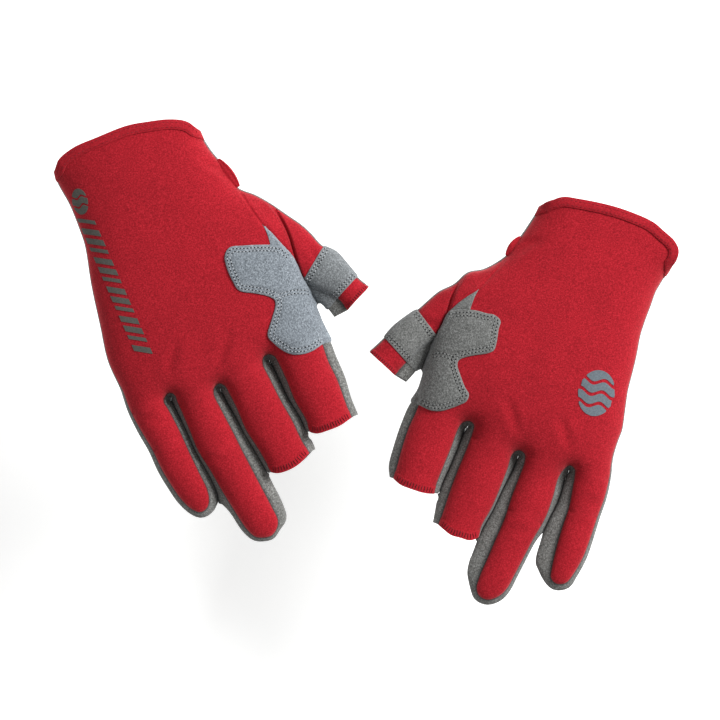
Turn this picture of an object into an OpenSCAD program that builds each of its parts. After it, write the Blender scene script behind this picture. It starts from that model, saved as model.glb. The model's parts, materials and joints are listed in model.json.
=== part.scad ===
// A pair of short-finger sailing gloves, lying palm down side by side.
// Red stretch cloth on the backs, grey suede on the palms and between the fingers. The thumb, index and
// middle stalls are cut short and open; the ring and little stalls are full length and closed.
// +Z is up, the table is z = 0, the cuffs point to +Y and the fingers to -Y.

/* [Cloth] */
// Thickness of the main cloth and the palm
cloth = 2; // [1.6:0.1:2.2]
// Thickness of the suede overlays and of the binding
overlay = 1.2; // [0.8:0.1:1.4]
// Thickness of the printed marks
print_thick = 0.4; // [0.3:0.1:0.6]

/* [Fullness] */
// Height of the back above the table, at the middle of the hand
hand_rise = 30; // [26:1:32]
// Height of the cuff opening
cuff_rise = 27; // [24:1:30]
// Height across the knuckles
knuckle_rise = 20; // [18:1:22]
// Height of the finger stalls
stall_rise = 16; // [15:0.5:17]
// How far the top of the cuff edge runs out past its two ends
cuff_bow = 10; // [6:1:12]

/* [Bending] */
// How far a stall bends towards the palm
bend = 60; // [30:5:65]
// How far a stall lifts back from rest
lift = 20; // [10:5:25]
// Free gap between two bodies at a fold
fold_gap = 0.6; // [0.4:0.1:1]

/* [Ends] */
// Length of the turned hems at the open stalls
hem_len = 5; // [4:0.5:7]
// Width of the cuff binding
binding_w = 5.5; // [4:0.5:7]
// Width of the elastic inside the wrist
elastic_w = 8; // [6:1:10]

/* [Hidden] */
layer_gap = 0.15;                 // between two layers that are sewn together
fold_run = 6;                     // from the line of the finger crotches to the knuckle fold
axis_z = stall_rise / 2;          // height of the fold axes
seam_share = 0.64;                // height of the back seams, as a share of a stall's height
side_share = 0.36;                // height of a stall's widest line
foot_in = 1.6;                    // how far the bottom edge lies inside the widest line
PAIR_SHIFT = [0, 2.4, 0];         // centres the pair on the origin

// A stall: crotch-line centre, tip centre, half widths of its back at root, middle and tip,
// wall widths on the little side (root, tip), wall widths on the thumb side (root, tip), bend of the second
// joint as a distance from the crotch line (0 for a short stall)
R_INDEX = [[-36.5, 9.5], [-18.5, -35.5], [12.2, 12.2, 12], [1.4, 1], [3.2, 3], 0];
R_MIDDLE = [[-65, -5.5], [-40, -54.5], [11.6, 11.7, 11.5], [1.9, 1.9], [1.4, 1.8], 0];
R_RING = [[-91, -18], [-54.5, -94], [9.3, 10.2, 9.2], [1.5, 2], [3.2, 5.6], 38];
R_LITTLE = [[-116, -23], [-87.5, -80.5], [9.2, 8.8, 8], [2.4, 2.4], [1.6, 3.8], 29];
L_INDEX  = [[39, -26.5], [25.5, -67], [12.4, 12, 11.4], [1.9, 1.9], [3.2, 3], 0];
L_MIDDLE = [[68, -42], [50, -91.5], [11.7, 11.4, 10.6], [1.2, 0.8], [1.8, 1.8], 0];
L_RING = [[96, -53.5], [65, -127.5], [10, 9.7, 8.8], [1.4, 1.4], [3.2, 7.4], 37];
L_LITTLE = [[121.5, -59.5], [103, -121], [8.8, 8.3, 7.4], [1.2, 1.2], [3.6, 8], 28];

// A thumb from its fold to its open end: centre, half width and height of each station
R_THUMB = [[[-23.5, 47.6], 12.2, 17], [[-16, 41.6], 11.8, 16.6], [[-10.5, 37], 11.4, 16.3], [[-5.5, 31.5], 10.9, 16]];
L_THUMB = [[[24, 8.6], 12, 17], [[18, 4.3], 11.5, 16.6], [[14, 1.3], 11, 16.3], [[9.5, -2.2], 10.2, 16]];

// A hand, from the cuff to the knuckles: little-side point and thumb-side point of each station
R_HAND = [[[-164.5, 100], [-88, 122]], [[-160.5, 90], [-82, 111.5]], [[-155, 78], [-73.5, 99]],
          [[-150.5, 64], [-67, 90]], [[-147, 46], [-58, 77.5]], [[-143, 27], [-45.5, 62.5]],
          [[-138, 4], [-34.5, 44.5]], [[-131, -15], [-26.8, 27]], [[-123.5, -33.5], [-20, 9.5]]];
L_HAND = [[[164.5, 57], [92.5, 81.5]], [[159, 46.5], [86.5, 72]], [[153, 35], [78.5, 61]],
          [[149, 22], [71.5, 49.5]], [[145.5, 11], [63, 40.5]], [[142.5, -3], [50.5, 31.5]],
          [[139, -20], [40.5, 16]], [[135, -43], [31, -4]], [[129.5, -68], [22.5, -27]]];
HAND_RISE = [cuff_rise, cuff_rise - 1, cuff_rise - 1, lerp(cuff_rise, hand_rise, 0.5), hand_rise,
             hand_rise, hand_rise - 1, lerp(hand_rise, knuckle_rise, 0.45), knuckle_rise];

// How far the knuckle edge of a hand runs on past its last station, by place across the hand
R_KNUCKLES = [[-1, -2.4], [-0.8, -2], [-0.55, 1.2], [-0.35, 2.8], [0, 2], [0.16, 1.4], [0.73, -1.3], [1, -1.4]];
L_KNUCKLES = [[-1, -1.2], [-0.82, -0.4], [-0.36, 3.2], [0.16, 2.5], [0.73, -1.4], [1, -1.6]];

// Rows of the two-lobed knuckle patch: station, first column, and 1 where it wraps round the index side
R_PATCH = [[4.75, 6.5, 0], [5, 6.25, 0], [5.4, 6.2, 0], [5.75, 6.25, 0], [6, 6.6, 0], [6.2, 6.95, 0], [6.4, 7.2, 0],
           [6.75, 6.9, 1], [7.2, 6.5, 1], [7.5, 6.7, 1], [7.8, 7.2, 1]];
L_PATCH = [[5.05, 6.7, 0], [5.3, 6.55, 0], [5.6, 6.4, 0], [5.85, 6.35, 0], [6, 6.4, 0], [6.2, 6.7, 1], [6.45, 7.25, 1],
           [6.85, 7.05, 1], [7.15, 6.6, 1], [7.4, 6.65, 1], [7.7, 7.3, 1]];
// Rows of the pointed gusset between the patch and the thumb: two ends, each a station and a column
R_GUSSET = [[[4.1, 8.55], [4.12, 8.75]], [[4.35, 8.25], [4.4, 8.75]], [[4.55, 8], [4.72, 8.75]]];
L_GUSSET = [[[4.3, 8.55], [4.32, 8.75]], [[4.6, 8.25], [4.65, 8.75]], [[4.85, 8], [4.95, 8.75]]];
// Printed marks: station, place across the hand and radius of the round one; first and last bar of the row
R_MARK = [1.7, -0.84, 5.5];
L_MARK = [6.16, -0.62, 12];
R_BARS = [[2.6, -0.82], [6.3, -0.64]];
L_BARS = [];
BAR_COUNT = 9;
BAR_SIZE = [3, 7];

RIGHT = [1, R_HAND, [R_INDEX, R_MIDDLE, R_RING, R_LITTLE], R_THUMB, R_KNUCKLES, R_PATCH, R_GUSSET, R_MARK, R_BARS];
LEFT = [-1, L_HAND, [L_INDEX, L_MIDDLE, L_RING, L_LITTLE], L_THUMB, L_KNUCKLES, L_PATCH, L_GUSSET, L_MARK, L_BARS];
INDEX = 0;
MIDDLE = 1;
RING = 2;
LITTLE = 3;

RED = [0.72, 0.09, 0.13];
GREY = [0.47, 0.48, 0.47];
PRINT = [0.42, 0.45, 0.46];

// ---- vectors -----------------------------------------------------------------------------------------
function lerp(a, b, t) = a + (b - a) * t;
function unit(v) = v / norm(v);
function left_of(v) = [-v[1], v[0]];
function right_of(v) = [v[1], -v[0]];

// Ring of [across, z] points moved inwards by t, each along the bisector of its two edges
function inset(ring, t) = let(n = len(ring)) [
    for (i = [0 : n - 1])
        let(p = ring[i],
            m1 = right_of(unit(p - ring[(i + n - 1) % n])),
            m2 = right_of(unit(ring[(i + 1) % n] - p)))
        p + t * (m1 + m2) / (1 + m1 * m2)];

// How far an edge at height z stands back from a fold, so that the stall can bend and lift
function fold_back(z) = fold_gap / 2 +
    (z < axis_z ? (axis_z - z) * tan(bend / 2) : (z - axis_z) * tan(lift / 2));

// ---- shells ------------------------------------------------------------------------------------------
// A closed shell between rows of outer and inner points. It can close round on itself, end at a pole, and
// leave out a block of cells [first row, last row, first column, last column]
module shell(outer, inner, mirrored, pole = [], closed = false, hole = []) {
    n = len(outer);
    m = len(outer[0]);
    cols = closed ? m : m - 1;
    half = n * m;
    poles = 2 * half;
    points = [for (p = concat([for (row = concat(outer, inner)) each row], pole)) p + PAIR_SHIFT];
    function at(i, j) = i * m + j % m;
    function kept(i, j) = i >= 0 && i < n - 1 && (closed || (j >= 0 && j < cols)) &&
        (len(hole) == 0 || i < hole[0] || i >= hole[1] || j < hole[2] || j >= hole[3]);
    function wall(p, q) = [[q, p, half + p], [q, half + p, half + q]];
    cells = [for (i = [0 : n - 2], j = [0 : cols - 1]) if (kept(i, j)) [i, j]];
    faces = [for (c = cells)
        let(i = c[0], j = c[1], p = at(i, j), q = at(i, j + 1), r = at(i + 1, j + 1), t = at(i + 1, j))
        each concat(
            [[p, q, r], [p, r, t], [half + p, half + r, half + q], [half + p, half + t, half + r]],
            kept(i - 1, j) ? [] : wall(p, q),
            kept(i, j + 1) ? [] : wall(q, r),
            kept(i + 1, j) || (len(pole) > 0 && i == n - 2) ? [] : wall(r, t),
            kept(i, j - 1) ? [] : wall(t, p))];
    cap = len(pole) == 0 ? [] : [for (j = [0 : cols - 1]) each [
        [at(n - 1, j), at(n - 1, j + 1), poles],
        [half + at(n - 1, j + 1), half + at(n - 1, j), poles + 1]]];
    cap_sides = len(pole) == 0 || closed ? [] : [
        [at(n - 1, 0), poles, poles + 1],
        [at(n - 1, 0), poles + 1, half + at(n - 1, 0)],
        [poles + 1, poles, at(n - 1, m - 1)],
        [half + at(n - 1, m - 1), poles + 1, at(n - 1, m - 1)]];
    all = concat(faces, cap, cap_sides);
    polyhedron(points, mirrored ? all : [for (f = all) [f[2], f[1], f[0]]], convexity = 6);
}

// ---- finger stalls -----------------------------------------------------------------------------------
// Section of a stall: back from seam to seam (points 0 to 6), thumb wall (6 to 8), palm (8 to 10), little wall
function stall_section(w, little, thumb, h) = let(seam = seam_share * h) concat(
    [for (s = [-1, -0.76, -0.4, 0, 0.4, 0.76, 1]) [s * w, seam + (h - seam) * pow(1 - s * s, 0.6)]],
    [[w + thumb, side_share * h], [w + thumb - foot_in, 0], [0, 0],
     [-(w + little - foot_in), 0], [-(w + little), side_share * h]]);
BACK = [0 : 6];
THUMB_WALL = [6 : 8];
PALM = [8 : 10];
LITTLE_WALL = [10 : 12];
TIP_UNDER = [6 : 12];

function stall_length(f) = norm(f[1] - f[0]);
function stall_along(f) = unit(f[1] - f[0]);
function cap_length(f) = 1.15 * f[2][2];

// Section at distance s: the closed tips round off over their last stretch
function section_at(f, s) =
    let(len = stall_length(f),
        t = s / len,
        reach = f[5] > 0 ? max(0, (s - (len - cap_length(f))) / cap_length(f)) : 0,
        c = sqrt(max(0, 1 - reach * reach)))
    stall_section(c * lookup(t, [[0, f[2][0]], [0.45, f[2][1]], [1, f[2][2]]]),
                  c * lerp(f[3][0], f[3][1], t), c * lerp(f[4][0], f[4][1], t),
                  stall_rise * lerp(0.75, 1, c));

// Row of points at distance s; end is 1 where the row stands forward of a fold, -1 where it stands back
function stall_row(glove, f, s, t, span, end = 0) =
    let(d = stall_along(f),
        n = glove[0] * left_of(d),
        ring = inset(section_at(f, s), t))
    [for (j = span) let(p = ring[(j + len(ring)) % len(ring)], xy = f[0] + d * (s + end * fold_back(p[1])) + n * p[0]) [xy[0], xy[1], p[1]]];

// Rows of one piece of a stall between two distances
function stall_rows(glove, f, from, to, t, span, folds) =
    let(inner = folds[1] == 0 ? [0.36, 0.68, 1] : [0.34, 0.66, 1])
    concat([stall_row(glove, f, from, t, span, folds[0])],
           [for (k = inner) stall_row(glove, f, lerp(from, to, k), t, span, k == 1 ? folds[1] : 0)]);

module stall_panel(glove, f, from, to, span, folds = [1, 0]) {
    shell(stall_rows(glove, f, from, to, 0, span, folds), stall_rows(glove, f, from, to, cloth, span, folds), glove[0] < 0);
}

// Rounded end of a closed stall, from the second fold to the tip
module tip_panel(glove, f, span) {
    len = stall_length(f);
    cap = len - cap_length(f);
    stops = [f[5], lerp(f[5], cap, 0.45), cap, cap + 0.45 * cap_length(f), cap + 0.75 * cap_length(f), cap + 0.93 * cap_length(f)];
    back = cloth * 0.9;
    function rows(t) = [for (i = [0 : len(stops) - 1])
        stall_row(glove, f, i > 2 ? cap + (stops[i] - cap) * (1 - t / cap_length(f)) : stops[i], 0, span, i == 0 ? 1 : 0)];
    function shrunk(t) = [for (i = [0 : len(stops) - 1])
        let(s = stops[i], ring = inset(section_at(f, s), i > 3 ? t * 0.9 : t), d = stall_along(f), n = glove[0] * left_of(d))
        [for (j = span) let(p = ring[(j + len(ring)) % len(ring)],
            xy = f[0] + d * (s - (i > 2 ? t * [0.25, 0.6, 0.8][i - 3] : 0) + (i == 0 ? fold_back(p[1]) : 0)) + n * p[0])
            [xy[0], xy[1], p[1]]]];
    mid = 0.4 * stall_rise * 0.75 + 1;
    d = stall_along(f);
    tip = f[0] + d * len;
    tip_in = tip - d * back;
    shell(rows(0), shrunk(cloth), glove[0] < 0, [[tip[0], tip[1], mid], [tip_in[0], tip_in[1], mid]]);
}

module stall_back(glove, i) {
    f = glove[2][i];
    color(RED) stall_panel(glove, f, fold_run, f[5] > 0 ? f[5] : stall_length(f), BACK, [1, f[5] > 0 ? -1 : 0]);
}
module stall_palm(glove, i) {
    f = glove[2][i];
    color(GREY) stall_panel(glove, f, fold_run, f[5] > 0 ? f[5] : stall_length(f), PALM, [1, f[5] > 0 ? -1 : 0]);
}
module stall_sides(glove, i) {
    f = glove[2][i];
    color(GREY) {
        stall_panel(glove, f, fold_run, f[5] > 0 ? f[5] : stall_length(f), THUMB_WALL, [1, f[5] > 0 ? -1 : 0]);
        stall_panel(glove, f, fold_run, f[5] > 0 ? f[5] : stall_length(f), LITTLE_WALL, [1, f[5] > 0 ? -1 : 0]);
    }
}
module tip_back(glove, i) { color(RED) tip_panel(glove, glove[2][i], BACK); }
module tip_palm(glove, i) { color(GREY) tip_panel(glove, glove[2][i], TIP_UNDER); }

// Turned hem inside the end of a short stall
module stall_hem(glove, i) {
    f = glove[2][i];
    len = stall_length(f);
    all = [0 : 11];
    function rows(t) = [for (s = [len - hem_len, len - 0.1]) stall_row(glove, f, s, t, all)];
    color(RED) shell(rows(cloth + layer_gap), rows(cloth + overlay), glove[0] < 0, closed = true);
}

// ---- hand --------------------------------------------------------------------------------------------
// Section of the hand: back from side to side (columns 0 to 10), then the palm (10 to 17)
function hand_section(w, h) = let(side = 0.4 * h) concat(
    [for (s = [-1, -0.96, -0.85, -0.65, -0.35, 0, 0.35, 0.65, 0.85, 0.96, 1])
        [s * w, side + (h - side) * pow(1 - pow(abs(s), 2.4), 0.5)]],
    [[w - 1.2, 0.14 * h], [w - 6, 0], [0.4 * w, 0], [-0.4 * w, 0], [-(w - 6), 0], [-(w - 1.2), 0.14 * h]]);
HAND_BACK = [0 : 10];
HAND_PALM = [10 : 17];
THUMB_HOLE = [3, 6, 9, 12];       // stations and columns between which the thumb joins the hand

// Column of the hand section at a place across it, from -1 on the little side to 1 on the thumb side
function column(s) = lookup(s, [[-1, 0], [-0.96, 1], [-0.85, 2], [-0.65, 3], [-0.35, 4], [0, 5],
                                [0.35, 6], [0.65, 7], [0.85, 8], [0.96, 9], [1, 10]]);

function hand_station(glove, k) = let(i = min(floor(k), 7), t = k - i)
    [lerp(glove[1][i], glove[1][i + 1], t), lerp(HAND_RISE[i], HAND_RISE[i + 1], t)];
function hand_half(glove, k) = let(st = hand_station(glove, k)[0]) norm(st[1] - st[0]) / 2;

// Points of the hand at station k. The cuff edge bows out, and the knuckle edge follows the finger folds
function hand_row(glove, k, t, span) =
    let(st = hand_station(glove, k),
        u = unit(st[0][1] - st[0][0]),
        w = hand_half(glove, k),
        d = -glove[0] * left_of(u),
        mid = (st[0][0] + st[0][1]) / 2,
        ring = inset(hand_section(w, st[1]), t))
    [for (j = span)
        let(i = floor(j),
            p = lerp(ring[(i + 17) % 17], ring[(i + 18) % 17], j - i),
            s = p[0] / w,
            bow = k < 1 ? -(1 - k) * cuff_bow * max(0, 1 - s * s) * p[1] / st[1] : 0,
            knuckle = k == 8 ? lookup(s, glove[4]) - fold_back(p[1]) : 0,
            xy = mid + u * p[0] + d * (bow + knuckle))
        [xy[0], xy[1], p[1]]];
function hand_point(glove, k, j, t) = hand_row(glove, k, t, [j])[0];
function hand_rows(glove, t, span) = [for (k = [0 : 8]) hand_row(glove, k, t, span)];

module back_panel(glove) {
    color(RED) shell(hand_rows(glove, 0, HAND_BACK), hand_rows(glove, cloth, HAND_BACK), glove[0] < 0,
                     hole = [THUMB_HOLE[0], THUMB_HOLE[1], THUMB_HOLE[2], 10]);
}
module palm_panel(glove) {
    color(GREY) shell(hand_rows(glove, 0, HAND_PALM), hand_rows(glove, cloth, HAND_PALM), glove[0] < 0,
                      hole = [THUMB_HOLE[0], THUMB_HOLE[1], 0, THUMB_HOLE[3] - 10]);
}

// Binding sewn round the back half of the cuff edge
module cuff_binding(glove) {
    depth = binding_w / 12;
    function rows(t) = [for (k = [0, depth / 2, depth]) hand_row(glove, k, t, [-1 : 11])];
    color(RED) shell(rows(-overlay - layer_gap), rows(-layer_gap), glove[0] < 0);
}

// Elastic sewn inside the palm at the wrist
module wrist_elastic(glove) {
    middle = 2.2;
    half = elastic_w / 24;
    function rows(t) = [for (k = [middle - half, middle + half]) hand_row(glove, k, t, [12 : 15])];
    color(GREY) shell(rows(cloth + layer_gap), rows(cloth + overlay), glove[0] < 0);
}

// Folded tab sewn to the side seam, on the thumb side of the wrist
module wrist_tab(glove) {
    ends = [hand_point(glove, 2.1, 10, -2.2), hand_point(glove, 2.75, 10, -2.2)];
    color(RED) hull()
        for (p = ends) translate(p + PAIR_SHIFT - [0, 0, 3]) cylinder(d = 3, h = 6, $fn = 16);
}

// A thin layer on the back of the hand: each row is a list of [station, column] places
module layer_on_back(glove, rows, low, high) {
    function lifted(t) = [for (row = rows) [for (c = row) hand_point(glove, c[0], c[1], -t)]];
    shell(lifted(high), lifted(low), glove[0] < 0);
}

module knuckle_patch(glove) {
    rows = [for (r = glove[5])
        let(last = r[2] > 0 ? [8, 8.9, 9.6] : [8, 8.2, 8.4])
        [for (j = concat([r[1], (r[1] + 8) / 2], last)) [r[0], j]]];
    color(GREY) layer_on_back(glove, rows, 0.75, 0.75 + overlay);
}
module thumb_gusset(glove) {
    rows = [for (r = glove[6]) [for (t = [0 : 0.5 : 1]) lerp(r[0], r[1], t)]];
    color(GREY) layer_on_back(glove, rows, 0.3, 0.3 + overlay);
}

// Printed marks: a round one, and on the right glove a row of slanted bars
module printed_mark(glove) {
    mark = glove[7];
    function place(k, s, along, across) =
        [k + along / 18, column(max(-0.99, s + across / hand_half(glove, k)))];
    function disc_row(r) = [for (a = [0 : 22.5 : 337.5])
        place(mark[0], mark[1], r * sin(a), r * cos(a))];
    function lifted(r, t) = [for (c = disc_row(r)) hand_point(glove, c[0], c[1], -t)];
    high = 0.4 + print_thick;
    rings = [mark[2], 0.5 * mark[2]];
    middle = place(mark[0], mark[1], 0, 0);
    color(PRINT) {
        shell([for (r = rings) lifted(r, high)], [for (r = rings) lifted(r, 0.4)], glove[0] < 0,
              pole = [hand_point(glove, middle[0], middle[1], -high), hand_point(glove, middle[0], middle[1], -0.4)],
              closed = true);
        if (len(glove[8]) > 0)
            for (i = [0 : BAR_COUNT - 1]) {
                c = lerp(glove[8][0], glove[8][1], i / (BAR_COUNT - 1));
                layer_on_back(glove, [for (a = [-0.5, 0.5]) [for (b = [-0.5, 0, 0.5])
                    place(c[0], c[1], a * BAR_SIZE[0] + b * 2, b * BAR_SIZE[1])]], 0.4, high);
            }
    }
}

// ---- thumb -------------------------------------------------------------------------------------------
// Section of the thumb, from its cuff side over the top to its finger side and back under
function thumb_section(w, h) = [
    for (p = [[-0.72, 0.94], [-0.26, 1], [0.26, 1], [0.72, 0.94], [0.95, 0.72], [1, 0.4],
              [0.86, 0], [0.3, 0], [-0.3, 0], [-0.86, 0], [-1, 0.4], [-0.95, 0.72]]) [p[0] * w, p[1] * h]];
THUMB_BACK = [10 : 17];
THUMB_PALM = [5 : 10];
THUMB_ALL = [0 : 11];

function thumb_along(glove, k) = let(st = glove[3])
    unit(st[min(3, floor(k) + 1)][0] - st[max(0, ceil(k) - 1)][0]);
function thumb_row(glove, k, t, span, end = 0) =
    let(i = min(floor(k), 2),
        a = glove[3][i],
        b = glove[3][i + 1],
        d = thumb_along(glove, k),
        n = -glove[0] * left_of(d),
        ring = inset(thumb_section(lerp(a[1], b[1], k - i), lerp(a[2], b[2], k - i)), t))
    [for (j = span)
        let(p = ring[j % 12], xy = lerp(a[0], b[0], k - i) + d * end * fold_back(p[1]) + n * p[0])
        [xy[0], xy[1], p[1]]];

// Edge of the hole in the hand that the thumb is sewn into, in the order of the thumb section
function thumb_seam(glove, t) = let(h = THUMB_HOLE) [
    for (k = [h[0] : h[1]]) hand_point(glove, k, h[2], t),
    for (j = [h[2] + 1 : h[3]]) hand_point(glove, h[1], j, t),
    for (k = [h[1] - 1 : -1 : h[0]]) hand_point(glove, k, h[3], t),
    for (j = [h[3] - 1 : -1 : h[2] + 1]) hand_point(glove, h[0], j, t)];

module thumb_base(glove) {
    function rows(t) = let(seam = thumb_seam(glove, t), fold = thumb_row(glove, 0, t, THUMB_ALL, -1))
        [seam, [for (j = THUMB_ALL) lerp(seam[j], fold[j], 0.5)], fold];
    color(RED) shell(rows(0), rows(cloth), glove[0] > 0, closed = true);
}
function thumb_rows(glove, t, span) =
    [for (k = [0 : 3]) thumb_row(glove, k, t, span, k == 0 ? 1 : 0)];
module thumb_back(glove) {
    color(RED) shell(thumb_rows(glove, 0, THUMB_BACK), thumb_rows(glove, cloth, THUMB_BACK), glove[0] > 0);
}
module thumb_palm(glove) {
    color(GREY) shell(thumb_rows(glove, 0, THUMB_PALM), thumb_rows(glove, cloth, THUMB_PALM), glove[0] > 0);
}
// Suede band over the back of the thumb, down to its widest line on both sides
module thumb_band(glove) {
    function rows(t) = [for (k = [0.55, 1, 2]) thumb_row(glove, k, t, THUMB_BACK)];
    color(GREY) shell(rows(-layer_gap - overlay), rows(-layer_gap), glove[0] > 0);
}

back_panel(RIGHT);  // right_back_panel
palm_panel(RIGHT);  // right_palm_panel
cuff_binding(RIGHT);  // right_cuff_binding
wrist_elastic(RIGHT);  // right_wrist_elastic
wrist_tab(RIGHT);  // right_wrist_tab
knuckle_patch(RIGHT);  // right_knuckle_patch
thumb_gusset(RIGHT);  // right_thumb_gusset
printed_mark(RIGHT);  // right_printed_mark
thumb_base(RIGHT);  // right_thumb_base
thumb_back(RIGHT);  // right_thumb_back
thumb_palm(RIGHT);  // right_thumb_palm
thumb_band(RIGHT);  // right_thumb_band
stall_back(RIGHT, INDEX);  // right_index_back
stall_palm(RIGHT, INDEX);  // right_index_palm
stall_sides(RIGHT, INDEX);  // right_index_sides
stall_hem(RIGHT, INDEX);  // right_index_hem
stall_back(RIGHT, MIDDLE);  // right_middle_back
stall_palm(RIGHT, MIDDLE);  // right_middle_palm
stall_sides(RIGHT, MIDDLE);  // right_middle_sides
stall_hem(RIGHT, MIDDLE);  // right_middle_hem
stall_back(RIGHT, RING);  // right_ring_back
stall_palm(RIGHT, RING);  // right_ring_palm
stall_sides(RIGHT, RING);  // right_ring_sides
tip_back(RIGHT, RING);  // right_ring_tip_back
tip_palm(RIGHT, RING);  // right_ring_tip_palm
stall_back(RIGHT, LITTLE);  // right_little_back
stall_palm(RIGHT, LITTLE);  // right_little_palm
stall_sides(RIGHT, LITTLE);  // right_little_sides
tip_back(RIGHT, LITTLE);  // right_little_tip_back
tip_palm(RIGHT, LITTLE);  // right_little_tip_palm
back_panel(LEFT);  // left_back_panel
palm_panel(LEFT);  // left_palm_panel
cuff_binding(LEFT);  // left_cuff_binding
wrist_elastic(LEFT);  // left_wrist_elastic
wrist_tab(LEFT);  // left_wrist_tab
knuckle_patch(LEFT);  // left_knuckle_patch
thumb_gusset(LEFT);  // left_thumb_gusset
printed_mark(LEFT);  // left_printed_mark
thumb_base(LEFT);  // left_thumb_base
thumb_back(LEFT);  // left_thumb_back
thumb_palm(LEFT);  // left_thumb_palm
thumb_band(LEFT);  // left_thumb_band
stall_back(LEFT, INDEX);  // left_index_back
stall_palm(LEFT, INDEX);  // left_index_palm
stall_sides(LEFT, INDEX);  // left_index_sides
stall_hem(LEFT, INDEX);  // left_index_hem
stall_back(LEFT, MIDDLE);  // left_middle_back
stall_palm(LEFT, MIDDLE);  // left_middle_palm
stall_sides(LEFT, MIDDLE);  // left_middle_sides
stall_hem(LEFT, MIDDLE);  // left_middle_hem
stall_back(LEFT, RING);  // left_ring_back
stall_palm(LEFT, RING);  // left_ring_palm
stall_sides(LEFT, RING);  // left_ring_sides
tip_back(LEFT, RING);  // left_ring_tip_back
tip_palm(LEFT, RING);  // left_ring_tip_palm
stall_back(LEFT, LITTLE);  // left_little_back
stall_palm(LEFT, LITTLE);  // left_little_palm
stall_sides(LEFT, LITTLE);  // left_little_sides
tip_back(LEFT, LITTLE);  // left_little_tip_back
tip_palm(LEFT, LITTLE);  // left_little_tip_palm
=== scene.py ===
import json
import logging
import math
from collections import deque
from dataclasses import dataclass, field
from enum import Enum
from typing import Callable, Iterable, Optional, Sequence

import bpy
import numpy as np
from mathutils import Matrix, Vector, noise
from mathutils.bvhtree import BVHTree
from mathutils.geometry import delaunay_2d_cdt

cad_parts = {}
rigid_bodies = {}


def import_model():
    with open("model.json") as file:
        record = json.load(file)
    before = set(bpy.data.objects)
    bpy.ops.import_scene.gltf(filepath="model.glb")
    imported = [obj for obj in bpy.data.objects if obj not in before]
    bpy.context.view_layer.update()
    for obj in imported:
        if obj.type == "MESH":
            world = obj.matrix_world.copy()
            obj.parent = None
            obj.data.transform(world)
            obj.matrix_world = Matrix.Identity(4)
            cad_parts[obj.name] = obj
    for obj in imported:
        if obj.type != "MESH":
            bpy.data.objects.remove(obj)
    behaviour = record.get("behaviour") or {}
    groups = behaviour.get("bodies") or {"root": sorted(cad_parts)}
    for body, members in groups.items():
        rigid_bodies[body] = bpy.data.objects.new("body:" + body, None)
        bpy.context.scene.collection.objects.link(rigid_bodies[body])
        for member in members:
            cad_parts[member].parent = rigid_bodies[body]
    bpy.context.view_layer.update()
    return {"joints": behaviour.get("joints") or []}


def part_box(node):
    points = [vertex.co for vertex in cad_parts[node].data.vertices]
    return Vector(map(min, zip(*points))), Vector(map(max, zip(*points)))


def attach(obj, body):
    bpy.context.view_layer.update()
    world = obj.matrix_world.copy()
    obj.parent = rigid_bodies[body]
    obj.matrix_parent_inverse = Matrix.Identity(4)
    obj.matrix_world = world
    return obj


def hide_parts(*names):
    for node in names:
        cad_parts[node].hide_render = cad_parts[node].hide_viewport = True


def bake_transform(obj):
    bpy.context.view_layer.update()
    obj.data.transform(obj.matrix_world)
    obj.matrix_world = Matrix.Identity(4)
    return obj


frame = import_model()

# Two sailing gloves, worked out in millimetres and turned to metres where a mesh is made.
# Each glove is one inflated form over its plan: a back, walls between the fingers and a flat palm. The
# separate pieces are cut out of that form along its seams and joints, and overlays are laid on top of it.

LOG = logging.getLogger("gloves")
METRE = 0.001
FAR = 99.0
BLOCK = 2000
Point = tuple[float, float]


class Edge(Enum):
    """What the outline of a glove is along one run."""

    WALL = "wall"
    OPEN = "open"


class Part(Enum):
    """Which face of the inflated form a facet belongs to."""

    BACK = 0
    WALL = 1
    UNDER = 2


# --------------------------------------------------------------------------- small maths


def unit(v: np.ndarray) -> np.ndarray:
    """Scales vectors to length one.

    Args:
        v: One vector, or one to a row.

    Returns:
        The same directions, with length one.
    """
    return v / np.maximum(np.linalg.norm(v, axis=-1, keepdims=True), 1e-12)


def smooth(x: np.ndarray) -> np.ndarray:
    """Smooth step of x from 0 to 1."""
    x = np.clip(x, 0, 1)
    return x * x * (3 - 2 * x)


def spread(values: Sequence[float], count: int) -> np.ndarray:
    """Reads a short list of values, evenly spaced along a line, at `count` places."""
    return np.interp(np.linspace(0, 1, count), np.linspace(0, 1, len(values)), values) if len(values) > 1 \
        else np.full(count, values[0])


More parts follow.
